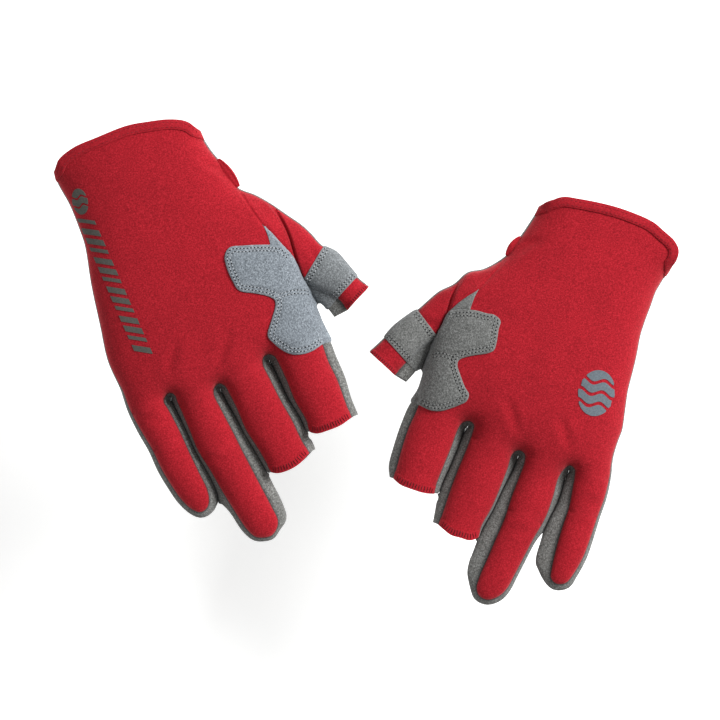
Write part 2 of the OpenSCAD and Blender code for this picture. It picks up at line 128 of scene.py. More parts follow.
def smooth_line(rows: np.ndarray, step: float) -> np.ndarray:
    """Runs a centripetal Catmull-Rom curve through points and cuts it into even steps.

    Args:
        rows: One point to a row: x, y and any further values that ride along.
        step: Distance between two samples.

    Returns:
        The samples, first and last point included.
    """
    p = np.asarray(rows, float)
    if len(p) == 2:
        fine = p
    else:
        ext = np.vstack([2 * p[0] - p[1], p, 2 * p[-1] - p[-2]])
        t = np.concatenate([[0], np.cumsum(np.linalg.norm(np.diff(ext[:, :2], axis=0), axis=1) ** 0.5)])
        parts = []
        for i in range(1, len(ext) - 2):
            t0, t1, t2, t3 = t[i - 1:i + 3]
            s = np.linspace(t1, t2, 15)[:-1, None]
            a1 = ((t1 - s) * ext[i - 1] + (s - t0) * ext[i]) / (t1 - t0)
            a2 = ((t2 - s) * ext[i] + (s - t1) * ext[i + 1]) / (t2 - t1)
            a3 = ((t3 - s) * ext[i + 1] + (s - t2) * ext[i + 2]) / (t3 - t2)
            b1 = ((t2 - s) * a1 + (s - t0) * a2) / (t2 - t0)
            b2 = ((t3 - s) * a2 + (s - t1) * a3) / (t3 - t1)
            parts.append(((t2 - s) * b1 + (s - t1) * b2) / (t2 - t1))
        fine = np.vstack(parts + [p[-1:]])
    run = np.concatenate([[0], np.cumsum(np.linalg.norm(np.diff(fine[:, :2], axis=0), axis=1))])
    at = np.linspace(0, run[-1], max(2, int(round(run[-1] / step)) + 1))
    return np.column_stack([np.interp(at, run, fine[:, k]) for k in range(fine.shape[1])])


def even_out(x: np.ndarray, reach: int) -> np.ndarray:
    """Averages values round a closed outline.

    Args:
        x: The values.
        reach: How many neighbours on each side count.

    Returns:
        The averages.
    """
    return np.convolve(np.r_[x[-reach:], x, x[:reach]], np.ones(2 * reach + 1) / (2 * reach + 1), "valid")


def line_normals(line: np.ndarray) -> np.ndarray:
    """Unit normals to the left of an open line."""
    t = unit(np.gradient(line[:, :2], axis=0))
    return np.column_stack([-t[:, 1], t[:, 0]])


def inside(points: np.ndarray, polygon: np.ndarray) -> np.ndarray:
    """Tells which points lie in a polygon, by the even-odd rule.

    Args:
        points: The points.
        polygon: Its corners in order.

    Returns:
        True for each point that lies inside.
    """
    x, y = points[:, 0], points[:, 1]
    hit = np.zeros(len(points), bool)
    for (x0, y0), (x1, y1) in zip(polygon, np.roll(polygon, -1, 0)):
        if y0 != y1:
            hit ^= ((y0 > y) != (y1 > y)) & (x < (x1 - x0) * (y - y0) / (y1 - y0) + x0)
    return hit


def line_distance(points: np.ndarray, line: np.ndarray) -> np.ndarray:
    """Distance in the plan from points to a polyline.

    Args:
        points: The points.
        line: The line.

    Returns:
        One distance to a point.
    """
    best = np.full(len(points), 1e9)
    for a, b in zip(line[:-1, :2], line[1:, :2]):
        ab = b - a
        t = np.clip(((points[:, :2] - a) @ ab) / max(ab @ ab, 1e-9), 0, 1)
        best = np.minimum(best, np.linalg.norm(points[:, :2] - a - t[:, None] * ab, axis=1))
    return best


# --------------------------------------------------------------------------- the gloves' outlines


@dataclass(frozen=True)
class Run:
    """One stretch of a glove's outline.

    bulge is how far the wall under the seam stands out, and height how high the seam lies, both read
    evenly along the stretch. shut is how far the wall closes the gap below, from 0 to 1. corner says that
    the outline turns sharply where the stretch starts.
    """

    name: str
    points: tuple[Point, ...]
    bulge: tuple[float, ...] = (0.0,)
    height: tuple[float, ...] = (8.5,)
    edge: Edge = Edge.WALL
    corner: bool = False
    shut: float = 0.0

    @property
    def lock(self) -> float:
        """Which way a closed wall steps past its neighbour, so that no light falls between them."""
        return 1.0 if self.name.endswith("_in") else -1.0 if self.name.endswith("_out") else 0.0


@dataclass(frozen=True)
class Plan:
    """Everything that is drawn in the plan of one glove, in millimetres."""

    side: str
    runs: tuple[Run, ...]
    seam: tuple[Point, ...]
    welt: tuple[Point, ...]
    patch: tuple[Point, ...]
    waist: tuple[Point, ...]
    gusset: tuple[Point, ...]
    inner_band: tuple[Point, ...]
    outer_band: tuple[Point, ...]
    seeds: dict[str, Point]
    tab: tuple[Point, ...]
    badge: tuple[float, float, float, float]
    dashes: Optional[tuple[Point, Point]] = None


RIGHT = Plan(
    side="right",
    runs=(
        Run("little_side", ((-164, 102.5), (-163, 97.5), (-161, 93.5), (-156.5, 85.5), (-151.5, 73),
                            (-148.5, 64), (-145, 42.5), (-140.5, 21.5), (-136.5, 3), (-132, -7.5)),
            (0, 0, 0, 0.3), (13, 12.5, 11.5, 9.5)),
        Run("little_out", ((-132, -7.5), (-129, -13), (-125, -23.5), (-119.5, -34), (-113, -45),
                           (-108, -55.5), (-101.5, -66), (-97.5, -71.5), (-92, -76.5)),
            (0.3, 1.8, 2.4, 2.5), (9.5, 8.5)),
        Run("little_tip", ((-92, -76.5), (-87.5, -78), (-84, -75.5)), (2.5, 3.2)),
        Run("little_in", ((-84, -75.5), (-83, -71.5), (-84, -66), (-89, -55.5), (-94, -45), (-99, -34),
                          (-104.5, -23.5), (-107, -19)), (3.6, 4, 3, 2), (8.5, 9.5)),
        Run("web_rl", ((-107, -19), (-105.5, -15.5), (-103.5, -14.5), (-101, -16)), (1.3,), (9.5,), shut=1.0),
        Run("ring_out", ((-101, -16), (-100, -19), (-98, -23.5), (-93.5, -34), (-89, -45), (-82.5, -55.5),
                         (-76.5, -66), (-70, -76.5), (-63, -87)), (1.8, 2, 2.4), (9.5, 8.5)),
        Run("ring_tip", ((-63, -87), (-58.5, -91), (-54.5, -91.5), (-50, -90.5), (-47, -86.5)), (2.2, 1.6)),
        Run("ring_in", ((-47, -86.5), (-46.5, -82), (-49, -76.5), (-54.5, -66), (-60, -55.5), (-65.5, -45),
                        (-71, -34), (-76.5, -23.5), (-80.5, -15)), (1.8, 5.2, 5.9, 5.6, 5, 4, 3), (8.5, 9.5)),
        Run("web_mr", ((-80.5, -15), (-80, -11.5), (-77.5, -9.5), (-74.5, -11)), (1.3,), (9.5,), shut=1.0),
        Run("middle_out", ((-74.5, -11), (-73, -13.5), (-68, -23.5), (-63.5, -34), (-56.5, -45),
                           (-50, -56.5)), (1.6, 2), (9.5, 8.5)),
        Run("middle_hem", ((-50, -56.5), (-46.5, -57), (-40, -55), (-34.5, -51.5), (-30, -46.5)),
            edge=Edge.OPEN),
        Run("middle_in", ((-30, -46.5), (-34, -39.5), (-39, -29), (-45, -18.5), (-50.5, -7.5), (-54.5, 1)),
            (3.2, 4.2, 2.9, 2.4), (8.5, 9.5)),
        Run("web_im", ((-54.5, 1), (-54, 4.5), (-51, 6), (-48, 4.5)), (1.3,), (9.5,), shut=1.0),
        Run("index_out", ((-48, 4.5), (-46.5, 2), (-42, -7.5), (-37.5, -18.5), (-31.5, -29), (-29.5, -35)),
            (1.6, 2), (9.5, 8.5)),
        Run("index_hem", ((-29.5, -35), (-26, -36), (-19, -34), (-13, -31.5), (-7.5, -27.5)), edge=Edge.OPEN),
        Run("index_in", ((-7.5, -27.5), (-11, -18.5), (-15, -7.5), (-20, 3), (-23, 12.5), (-25.5, 23)),
            (3.6, 3.4, 4.6, 4.6, 1.2), (8.5, 9.5)),
        Run("crotch", ((-25.5, 23), (-30, 36.5), (-33, 45)), (1.0, 0.2), (9.5, 10)),
        Run("thumb_low", ((-33, 45), (-24, 41), (-15, 36), (-9.5, 29.5)), (2, 6.4, 7.4, 7.6), (10, 8.8, 8.5),
            corner=True),
        Run("thumb_end", ((-9.5, 29.5), (1.5, 41.5)), edge=Edge.OPEN),
        Run("thumb_up", ((1.5, 41.5), (-5, 47), (-11, 54), (-16, 59.5), (-23.5, 63.5), (-29.5, 70),
                         (-34.5, 74.5), (-42.5, 80), (-50.5, 85.5), (-58.5, 90), (-68, 94)),
            (0,), (8.5, 9, 10.5, 12)),
        Run("wrist", ((-68, 94), (-72, 100), (-78.5, 109), (-82.5, 114), (-86, 119.5), (-88, 124)),
            (0,), (12, 13)),
        Run("rim", ((-88, 124), (-91.5, 126.8), (-95.5, 128.6), (-103.5, 129.1), (-114, 127.8), (-125, 125.7),
                    (-140.5, 119.7), (-153.5, 114.2), (-161.5, 108), (-164, 102.5)), edge=Edge.OPEN),
    ),
    seam=((-33, 45), (-34.5, 48), (-39, 58), (-45.5, 65.5), (-50.5, 71), (-55, 75), (-61, 83.5), (-68, 94)),
    welt=((-33, 45), (-35.5, 52), (-38, 60), (-40, 67), (-42.5, 73), (-45.5, 78.5), (-50.5, 85.5)),
    patch=((-24, 11), (-28.5, 7.5), (-33.5, 6), (-39, 6), (-43.5, 8), (-48, 11.5), (-51.5, 15.5), (-49.5, 24),
           (-47.5, 31.5), (-48, 34.5), (-51.5, 36.5), (-58.5, 38), (-66.5, 39.5), (-70, 44.5), (-73, 51.5),
           (-74, 57.5), (-71.5, 62), (-64, 63), (-56, 63.5), (-45.5, 63), (-40.5, 60)),
    waist=((-45.5, 36.6), (-41, 38), (-36, 38.9), (-31, 38.9)),
    gusset=((-55, 75), (-52.5, 71), (-50.5, 65), (-50, 63)),
    inner_band=((-23, 63), (-33, 45)),
    outer_band=((-5, 47), (-15, 36)),
    seeds={"back": (-100, 40), "patch": (-55, 50), "gusset": (-49, 66.5), "base": (-36, 66)},
    tab=((-78.5, 109), (-72, 100.5), (-67.5, 94.5)),
    badge=(-150.4, 86.4, 4.3, 6.9),
    dashes=((-147.5, 77), (-116, 5)),
)

LEFT = Plan(
    side="left",
    runs=(
        Run("little_side", ((160.5, 51), (156, 43.5), (153.5, 39), (151, 32), (148, 24), (145.5, 16),
                            (143.5, 5.5), (141, -5), (139, -13), (137.5, -23.5), (136, -34), (134, -39.5)),
            (0, 0, 0, 0.2), (13, 12.5, 11.5, 9.5)),
        Run("little_out", ((134, -39.5), (131, -49), (129.5, -59.5), (127, -70), (123, -81), (119.5, -91.5),
                           (115.5, -102), (110, -111.5)), (0.2, 1, 1.6, 2.4), (9.5, 8.5)),
        Run("little_tip", ((110, -111.5), (106.5, -115.5), (101.5, -116), (98.5, -113)), (2.8, 3.8)),
        Run("little_in", ((98.5, -113), (99, -107.5), (101.5, -96.5), (104.5, -86), (108, -75.5), (110, -65),
                          (111, -59)), (6, 8.6, 8.6, 6.5, 4.4, 3), (8.5, 9.5)),
        Run("web_rl", ((111, -59), (111, -55), (108.5, -53), (105.5, -55)), (1.3,), (9.5,), shut=1.0),
        Run("ring_out", ((105.5, -55), (102.5, -59.5), (99.5, -70), (95.5, -81), (89.5, -91.5), (84, -102),
                         (78.5, -112.5), (75.5, -118)), (1, 1.4, 2), (9.5, 8.5)),
        Run("ring_tip", ((75.5, -118), (71, -122.5), (65, -124.5), (60.5, -122.5), (59, -118.5)), (2.4, 3)),
        Run("ring_in", ((59, -118.5), (60.5, -112.5), (65, -102), (69.5, -91.5), (74, -81), (77.5, -70),
                        (81.5, -59.5), (84.5, -51)), (3.4, 7, 9, 9, 6.5, 4.2, 2.6), (8.5, 9.5)),
        Run("web_mr", ((84.5, -51), (84.5, -47), (81.5, -45), (78, -47)), (1.3,), (9.5,), shut=1.0),
        Run("middle_out", ((78, -47), (75.5, -54.5), (71.5, -65), (67, -75.5), (61.5, -85.5), (60, -91)),
            (1.4, 1.8), (9.5, 8.5)),
        Run("middle_hem", ((60, -91), (55.5, -92.5), (50, -91), (45, -89.5), (39, -84.5)), edge=Edge.OPEN),
        Run("middle_in", ((39, -84.5), (42, -75.5), (45.5, -65), (49.5, -54.5), (54, -43.5), (57, -35)),
            (3, 4.8, 3.4, 2.2), (8.5, 9.5)),
        Run("web_im", ((57, -35), (57.5, -31.5), (55, -29.5), (51.5, -30.5)), (1.3,), (9.5,), shut=1.0),
        Run("index_out", ((51.5, -30.5), (49.5, -33), (45.5, -43.5), (41, -54.5), (37, -65), (36.5, -68)),
            (1.6, 2.4), (9.5, 8.5)),
        Run("index_hem", ((36.5, -68), (31.5, -67.5), (23.5, -65), (18.5, -63), (15, -60)), edge=Edge.OPEN),
        Run("index_in", ((15, -60), (16.5, -54.5), (19.5, -43.5), (23, -33), (27.5, -23), (30.5, -13)),
            (2, 4, 4.2, 4.2, 4.4, 1.2), (8.5, 9.5)),
        Run("crotch", ((30.5, -13), (34, 1.5), (38, 15.5)), (1.0, 0.2), (9.5, 10)),
        Run("thumb_low", ((38, 15.5), (30, 10), (22, 2), (15.5, -5)), (1.5, 5.4, 6.8, 6.8), (10, 8.8, 8.5),
            corner=True),
        Run("thumb_end", ((15.5, -5), (2.5, 7)), edge=Edge.OPEN),
        Run("thumb_up", ((2.5, 7), (10.5, 14.5), (15.5, 20), (22.5, 25.5), (29, 30), (34, 34.5), (39.5, 39),
                         (47.5, 43), (54.5, 49), (63.5, 51), (75.5, 58.5)), (0,), (8.5, 9, 10.5, 12)),
        Run("wrist", ((75.5, 58.5), (78, 63), (82.5, 68), (87, 74.5), (90.5, 80), (92.5, 84)),
            (0,), (12, 13)),
        Run("rim", ((92.5, 84), (95, 86), (99.5, 87.5), (104.5, 88.5), (111, 87.5), (119, 86), (129.5, 83.5),
                    (140, 80), (151, 75), (157, 70), (162, 65.5), (164.5, 60.5), (163.5, 55), (160.5, 51)),
            edge=Edge.OPEN),
    ),
    seam=((38, 15.5), (41, 21.5), (45, 29), (52.5, 35.5), (59.5, 40), (66, 47), (71.5, 53), (75.5, 58.5)),
    welt=((38, 15.5), (41, 22.5), (43.6, 29), (45.5, 35.6), (48, 41), (51.5, 46.5)),
    patch=((29, -20.5), (34, -23.5), (39.5, -24), (45, -22.5), (50, -20.5), (53.5, -18.5), (54.5, -15),
           (52.5, -11.5), (50, -5), (48.5, 0), (49, 2.5), (51.5, 4), (58, 5.5), (64.5, 6.5), (67.5, 8),
           (69, 12.5), (70, 19), (71, 23.5), (68, 26.5), (63.5, 27.5), (58, 29), (50, 29.5), (45, 28.5)),
    waist=((46.5, 3.6), (43, 5), (39.5, 5.8), (36.5, 5.6)),
    gusset=((59.5, 40), (57.5, 36), (55, 29)),
    inner_band=((28, 29.5), (38, 15.5)),
    outer_band=((10.5, 14.5), (22, 2)),
    seeds={"back": (105, 10), "patch": (58, 17), "gusset": (53, 32.5), "base": (38, 30)},
    tab=((82.5, 68.5), (78.5, 62.5), (75, 58.5)),
    badge=(121.5, -14.5, 9.8, 12.2),
)


CREASES = {
    "right": ((((-86, 108), (-78, 104), (-70, 98)), 1.3, 2.0), (((-104, -4), (-102, 4), (-99, 12)), 0.8, 2.4),
              (((-78, 0), (-75, 8), (-71, 16)), 0.8, 2.4), (((-33, 68), (-27, 58), (-25, 50)), 0.7, 2.2),
              (((-60, 88), (-52, 82), (-44, 74)), 0.5, 1.6),
              (((-120, -30), (-112, -28), (-105, -30)), 0.5, 2.4),
              (((-90, -52), (-82, -49), (-74, -50)), 0.5, 2.4)),
    "left": ((((92, 66), (86, 64), (78, 58)), 1.3, 2.0), (((107, -43), (105, -35), (102, -27)), 0.8, 2.4),
             (((80, -35), (78, -27), (75, -19)), 0.8, 2.4), (((27, 26), (33, 22), (38, 22)), 1.0, 2.2),
             (((70, 49), (62, 45), (54, 42)), 0.5, 1.6), (((108, -74), (116, -71), (124, -73)), 0.5, 2.4),
             (((70, -90), (78, -87), (86, -88)), 0.5, 2.4)),
}


@dataclass(frozen=True)
class Hinge:
    """Where a stall bends, in the plan.

    place is the middle of the hinge, ahead the direction towards the tip, and cut, start and end are how far
    along it the cloth is divided and its turn begins and ends.
    """

    parent: str
    child: str
    place: np.ndarray
    ahead: np.ndarray
    cut: float
    start: float
    end: float

    def point(self, along: float) -> tuple[float, float, float]:
        """A point on the line of the stall, in metres."""
        p = (self.place[:2] + self.ahead * along) * METRE
        return (float(p[0]), float(p[1]), float(self.place[2]) * METRE)


def hinges_of(side: str) -> dict[str, Hinge]:
    """Reads one glove's hinges from the frame.

    Args:
        side: "right" or "left".

    Returns:
        The hinge before each moving body, by the body's short name.
    """
    found = {}
    for j in frame["joints"]:
        if j["type"] != "hinge" or not j["child"].startswith(side):
            continue
        name = j["child"][len(side) + 1:]
        axis = np.array(j["axis"][:2], float)
        if name == "thumb":
            span = (0.0, -3.5, 6.5) if side == "right" else (0.0, -6.0, 5.0)
        else:
            span = (-5.5, -5.25, 5.25) if name.endswith("_tip") else (-4.5, -4.5, 6.0)
        found[name] = Hinge(j["parent"], j["child"], np.array(j["pos_m"], float) / METRE,
                            np.array([axis[1], -axis[0]]), *span)
    return found


# --------------------------------------------------------------------------- the plan as a mesh


class PlanField:
    """Solves smooth fields over the flat mesh of a glove's plan."""

    def __init__(self, points: np.ndarray, tris: np.ndarray) -> None:
        """Prepares the sums that every field needs.

        Args:
            points: The plan's points.
            tris: Its triangles.
        """
        rows, cols, weights = [], [], []
        for i, j, k in ((0, 1, 2), (1, 2, 0), (2, 0, 1)):
            u, v = points[tris[:, i]] - points[tris[:, k]], points[tris[:, j]] - points[tris[:, k]]
            cross = np.abs(u[:, 0] * v[:, 1] - u[:, 1] * v[:, 0])
            w = np.clip(0.5 * (u * v).sum(1) / np.maximum(cross, 1e-9), 0.01, 20)
            rows += [tris[:, i], tris[:, j]]
            cols += [tris[:, j], tris[:, i]]
            weights += [w, w]
        u, v = points[tris[:, 1]] - points[tris[:, 0]], points[tris[:, 2]] - points[tris[:, 0]]
        area = 0.5 * np.abs(u[:, 0] * v[:, 1] - u[:, 1] * v[:, 0])
        self.count = len(points)
        self.row, self.col, self.weight = (np.concatenate(x) for x in (rows, cols, weights))
        self.mass = np.bincount(tris.ravel(), np.repeat(area / 3, 3), self.count)
        self.diagonal = np.bincount(self.row, self.weight, self.count)

    def solve(self, held: np.ndarray, values: np.ndarray, source: float = 0.0,
              screen: float = 0.0) -> np.ndarray:
        """Fills in a field between the points where it is held.

        Args:
            held: True at the points whose value is given.
            values: The given values.
            source: What is fed in over the area.
            screen: What share leaks out over the area.

        Returns:
            The field at every point.
        """
        diagonal = self.diagonal + screen * self.mass + 1e-9

        def product(x: np.ndarray) -> np.ndarray:
            """The system's matrix times x."""
            return diagonal * x - np.bincount(self.row, self.weight * x[self.col], self.count)

        x = np.where(held, values, 0.0)
        r = np.where(held, 0.0, self.mass * source - product(x))
        z = r / diagonal
        p, rz = z.copy(), r @ z
        stop = 1e-10 * max(rz, 1e-12)
        for _ in range(1200):
            if rz <= stop:
                break
            q = np.where(held, 0.0, product(p))
            step = rz / max(p @ q, 1e-30)
            x, r = x + step * p, r - step * q
            z = r / diagonal
            rz, before = r @ z, rz
            p = z + rz / before * p
        return x


class PointSet:
    """Points in the plan that keep their distance from each other."""

    def __init__(self, cell: float = 2.0) -> None:
        """Starts with no points, in cells of the given size."""
        self.cell, self.cells, self.points = cell, {}, []

    def add(self, p: Sequence[float], apart: float) -> bool:
        """Adds a point unless another is nearer than `apart`.

        Args:
            p: The point.
            apart: The least distance, which is at most one cell.

        Returns:
            True if it was added.
        """
        cx, cy = int(p[0] // self.cell), int(p[1] // self.cell)
        if apart > 0:
            for i in (cx - 1, cx, cx + 1):
                for j in (cy - 1, cy, cy + 1):
                    for q in self.cells.get((i, j), ()):
                        if (q[0] - p[0]) ** 2 + (q[1] - p[1]) ** 2 < apart * apart:
                            return False
        self.cells.setdefault((cx, cy), []).append((p[0], p[1]))
        self.points.append((float(p[0]), float(p[1])))
        return True


@dataclass(frozen=True)
class Gap:
    """How near the walls of two stalls come to each other, in millimetres.

    web, apart and closed are the room left at a web, between two bulges and low down. least and thin are the
    least bulge while the walls are fitted and after. A gap closes where its half width is under narrow, and
    stays open over wide.
    """

    web: float = 0.35
    apart: float = 0.45
    closed: float = 0.07
    least: float = 0.3
    thin: float = 0.2
    narrow: float = 7.2
    wide: float = 9.0


@dataclass
class PlanMesh:
    """The flat mesh of one glove, with its zones and bodies."""

    plan: Plan
    hinges: dict[str, Hinge]
    step: float = 1.35
    coarse: float = 1.75
    fine: float = 0.85
    hem: float = 4.0
    cuff: float = 5.0
    thumb_hem: float = 3.0
    gap: Gap = Gap()
    lines: dict[str, np.ndarray] = field(default_factory=dict)

    def build(self) -> None:
        """Samples the outline and every line, fills the plan and finds its zones and bodies."""
        self._ring()
        self._lines()
        self._triangles()
        self._labels()

    def _ring(self) -> None:
        """Samples the outline, anticlockwise, with its bulge, seam height and kind of edge."""
        chains: list[list[Run]] = []
        for run in self.plan.runs:
            if not chains or run.corner or run.edge is not chains[-1][-1].edge:
                chains.append([run])
            else:
                chains[-1].append(run)
        rows, kinds, names = [], [], []
        for chain in chains:
            control = []
            for n, run in enumerate(chain):
                block = np.column_stack([np.array(run.points, float), spread(run.bulge, len(run.points)),
                                         spread(run.height, len(run.points)),
                                         np.full(len(run.points), run.shut),
                                         np.full(len(run.points), run.lock)])
                control.append(block if n == 0 else block[1:])
            line = smooth_line(np.vstack(control), self.step)
            rows.append(line[:-1])
            kinds += [chain[0].edge is Edge.WALL] * (len(line) - 1)
            names += [chain[0].name] * (len(line) - 1)
        ring, wall, names = np.vstack(rows), np.array(kinds), np.array(names)
        p = ring[:, :2]
        if np.sum(p[:, 0] * np.roll(p[:, 1], -1) - p[:, 1] * np.roll(p[:, 0], -1)) < 0:
            ring, wall, names = ring[::-1], np.roll(wall[::-1], -1), np.roll(names[::-1], -1)
        self.ring, self.bulge, self.height = ring[:, :2].copy(), ring[:, 2].copy(), ring[:, 3].copy()
        self.shut = np.clip(ring[:, 4], 0, 1)
        self.lock = np.clip(ring[:, 5], -1, 1)
        self.wall_edge, self.edge_chain = wall, names
        self.is_wall = wall | np.roll(wall, 1)
        t = unit(np.roll(self.ring, -1, 0) - self.ring)
        out = np.column_stack([t[:, 1], -t[:, 0]])
        before = np.roll(out, 1, 0)
        use_next, use_last = wall[:, None], np.roll(wall, 1)[:, None]
        self.outward = unit(np.where(use_next, out, 0) + np.where(use_last, before, 0)
                            + np.where(use_next | use_last, 0, out + before))
        self.even_outward = unit(out + before)
        self._clearance()

    def _room(self) -> np.ndarray:
        """The radius of the largest ball that fits between each wall and what it faces.

        Returns:
            One radius to a sample of the outline.
        """
        room = np.full(len(self.ring), 30.0)
        for i in np.flatnonzero(self.is_wall):
            d = self.ring - self.ring[i]
            ahead, square = d @ self.outward[i], (d ** 2).sum(1)
            some = (ahead > 0.12 * np.sqrt(square)) & (square > 4)
            if some.any():
                room[i] = min(room[i], float((square[some] / (2 * ahead[some])).min()))
        return room

    def _clearance(self) -> None:
        """Keeps the walls of neighbouring fingers apart, and closes a narrow gap low down."""
        gap, room, ahead, web = self.gap, self._room(), self._ahead(), self.shut > 0
        limit = np.where(web, np.maximum(room - gap.web, gap.thin), 30.0)
        bulge = np.minimum(self.bulge, limit)
        for _ in range(24):
            over = np.maximum(bulge + gap.apart - ahead(bulge), 0)
            bulge = np.maximum(bulge - 0.4 * over, gap.least)
        held = even_out((self.bulge - bulge > 0.15).astype(float), 8) > 0
        for _ in range(3):
            bulge = np.where(held, np.minimum(even_out(bulge, 5), ahead(bulge) - gap.least), bulge)
        self.bulge = np.where(web, np.minimum(bulge, limit), np.maximum(bulge, gap.thin))
        left = np.maximum(np.minimum(room, ahead(self.bulge)) - self.bulge - 0.02, 0)
        share = np.maximum(smooth((gap.narrow - room) / 1.5), self.shut)
        low = np.where(room < gap.wide, left * share, 0)
        low = np.where(web, low, np.minimum(even_out(even_out(low, 3), 3), left))
        for _ in range(4):
            rest = ahead(self.bulge + low) - self.bulge - low
            closing = (share > 0.9) & (self.shut == 0) & (rest < 3)
            low = np.maximum(low + np.where(closing, 0.45 * (rest - gap.closed), 0), 0)
        near = even_out((share * (room < gap.wide)).astype(float), 2)
        self.closed = np.clip(near, 0, 1) * self.is_wall
        self.low_bulge = low * self.is_wall

    def _ahead(self) -> Callable[[np.ndarray], np.ndarray]:
        """Prepares the measure of how far each wall can go before it meets another one.

        Returns:
            A function from the bulges to the free lengths.
        """
        m = len(self.ring)
        i = np.flatnonzero(self.is_wall)
        apart = np.abs(i[:, None] - np.arange(m)[None, :])
        apart = np.minimum(apart, m - apart)
        facing = (self.outward[i] @ self.outward.T < -0.2) | ~self.is_wall[None, :]
        near = np.linalg.norm(self.ring[i][:, None] - self.ring[None], axis=2) < 22
        one, two = np.nonzero((apart > 5) & facing & near)
        out = self.outward[i[one]]
        side = np.column_stack([-out[:, 1], out[:, 0]])

        def measure(bulge: np.ndarray) -> np.ndarray:
            """Measures the free lengths.

            Args:
                bulge: The bulge at each sample.

            Returns:
                The free length at each.
            """
            d = self.ring[two] + self.outward[two] * (bulge * self.is_wall)[two, None] - self.ring[i[one]]
            t, off = (d * out).sum(1), np.abs((d * side).sum(1))
            hit = (t > 0.3) & (off < 1.0)
            free = np.full(m, 60.0)
            np.minimum.at(free, i[one[hit]], t[hit])
            return free

        return measure

    def _ring_index(self, p: Sequence[float]) -> int:
        """The outline sample nearest to a point."""
        return int(np.argmin(np.linalg.norm(self.ring - np.array(p[:2]), axis=1)))

    def _crossing(self, centre: np.ndarray, along: np.ndarray) -> tuple[int, int]:
        """The outline samples nearest to where a line through the plan leaves it on each side.

        Args:
            centre: A point inside.
            along: The line's direction.

        Returns:
            The sample behind the centre and the one ahead of it.
        """
        a, b = self.ring - centre, np.roll(self.ring, -1, 0) - centre
        side = np.array([-along[1], along[0]])
        sa, sb = a @ side, b @ side
        hit = np.flatnonzero((sa > 0) != (sb > 0))
        t = sa[hit] / (sa[hit] - sb[hit])
        at = (a[hit] + t[:, None] * (b[hit] - a[hit])) @ along
        ends = []
        for sign in (-1, 1):
            good = at * sign > 0
            ends.append(self._ring_index(centre + along * at[good][np.argmin(at[good] * sign)]))
        return ends[0], ends[1]

    def open_chain(self, name: str) -> np.ndarray:
        """The outline samples of an open end, its two corners included.

        Args:
            name: The end's name.

        Returns:
            Their places in the ring.
        """
        edges = np.flatnonzero(self.edge_chain == name)
        if edges[0] == 0 and edges[-1] == len(self.ring) - 1:
            edges = np.roll(edges, -(np.flatnonzero(np.diff(edges) > 1)[0] + 1))
        return np.r_[edges, (edges[-1] + 1) % len(self.ring)]

    def _inner_line(self, name: str, width: float) -> np.ndarray:
        """A line inside an open end and parallel to it, from outline to outline.

        Args:
            name: The end's name.
            width: How far inside the line runs.

        Returns:
            The line.
        """
        chain, m = self.open_chain(name), len(self.ring)
        steps = max(1, int(round(width / self.step)))
        first, last = (chain[0] - steps) % m, (chain[-1] + steps) % m
        core = self.ring[chain] - self.even_outward[chain] * width
        ends = self.ring[[first, last]]
        keep = [p for p in core if min(np.linalg.norm(p - ends[0]), np.linalg.norm(p - ends[1])) > 1.5
                and np.linalg.norm(self.ring - p, axis=1).min() > 0.8 * min(width, 3)]
        return smooth_line(np.vstack([ends[0], keep[1:-1], ends[1]]), 1.3)

    def _lines(self) -> None:
        """Samples the seams, the edges of the overlays and the cuts between bodies."""
        plan = self.plan
        anchors = [self.ring]

        def put(name: str, points: Sequence[Point], step: float) -> None:
            """Adds a line whose ends sit on what is already there.

            Args:
                name: Its name.
                points: Its points.
                step: How far apart its samples lie.
            """
            p = np.array(points, float)
            known = np.vstack(anchors)
            for end in (0, -1):
                p[end] = known[np.argmin(np.linalg.norm(known - p[end], axis=1))]
            self.lines[name] = smooth_line(p, step)
            anchors.append(self.lines[name])

        put("seam", plan.seam, 1.0)
        put("welt", plan.welt, 1.0)
        put("patch", plan.patch, 0.8)
        put("gusset", plan.gusset, 0.8)
        put("inner_band", plan.inner_band, 0.9)
        put("outer_band", plan.outer_band, 0.9)
        for name, width in (("index_hem", self.hem), ("middle_hem", self.hem), ("thumb_end", self.thumb_hem),
                            ("rim", self.cuff)):
            self.lines[name] = self._inner_line(name, width)
        for name, h in self.hinges.items():
            if name == "thumb":
                continue
            across = np.array([-h.ahead[1], h.ahead[0]])
            a, b = self._crossing(h.place[:2] + h.ahead * h.cut, across)
            self.lines["cut_" + name] = smooth_line(self.ring[[a, b]], 1.5)

    def _triangles(self) -> None:
        """Fills the plan with points and triangles that keep every line."""
        pts = PointSet()
        coords: list[tuple[float, float]] = []
        edges: list[tuple[int, int]] = []
        owner: list[str] = []

        def add_line(name: str, line: np.ndarray, closed: bool) -> None:
            """Adds a line's points and its edges.

            Args:
                name: Its name.
                line: Its points.
                closed: Whether its ends meet.
            """
            base = len(coords)
            for p in line:
                coords.append((float(p[0]), float(p[1])))
                pts.add(p, 0)
            n = len(line)
            for i in range(n if closed else n - 1):
                edges.append((base + i, base + (i + 1) % n))
                owner.append(name)

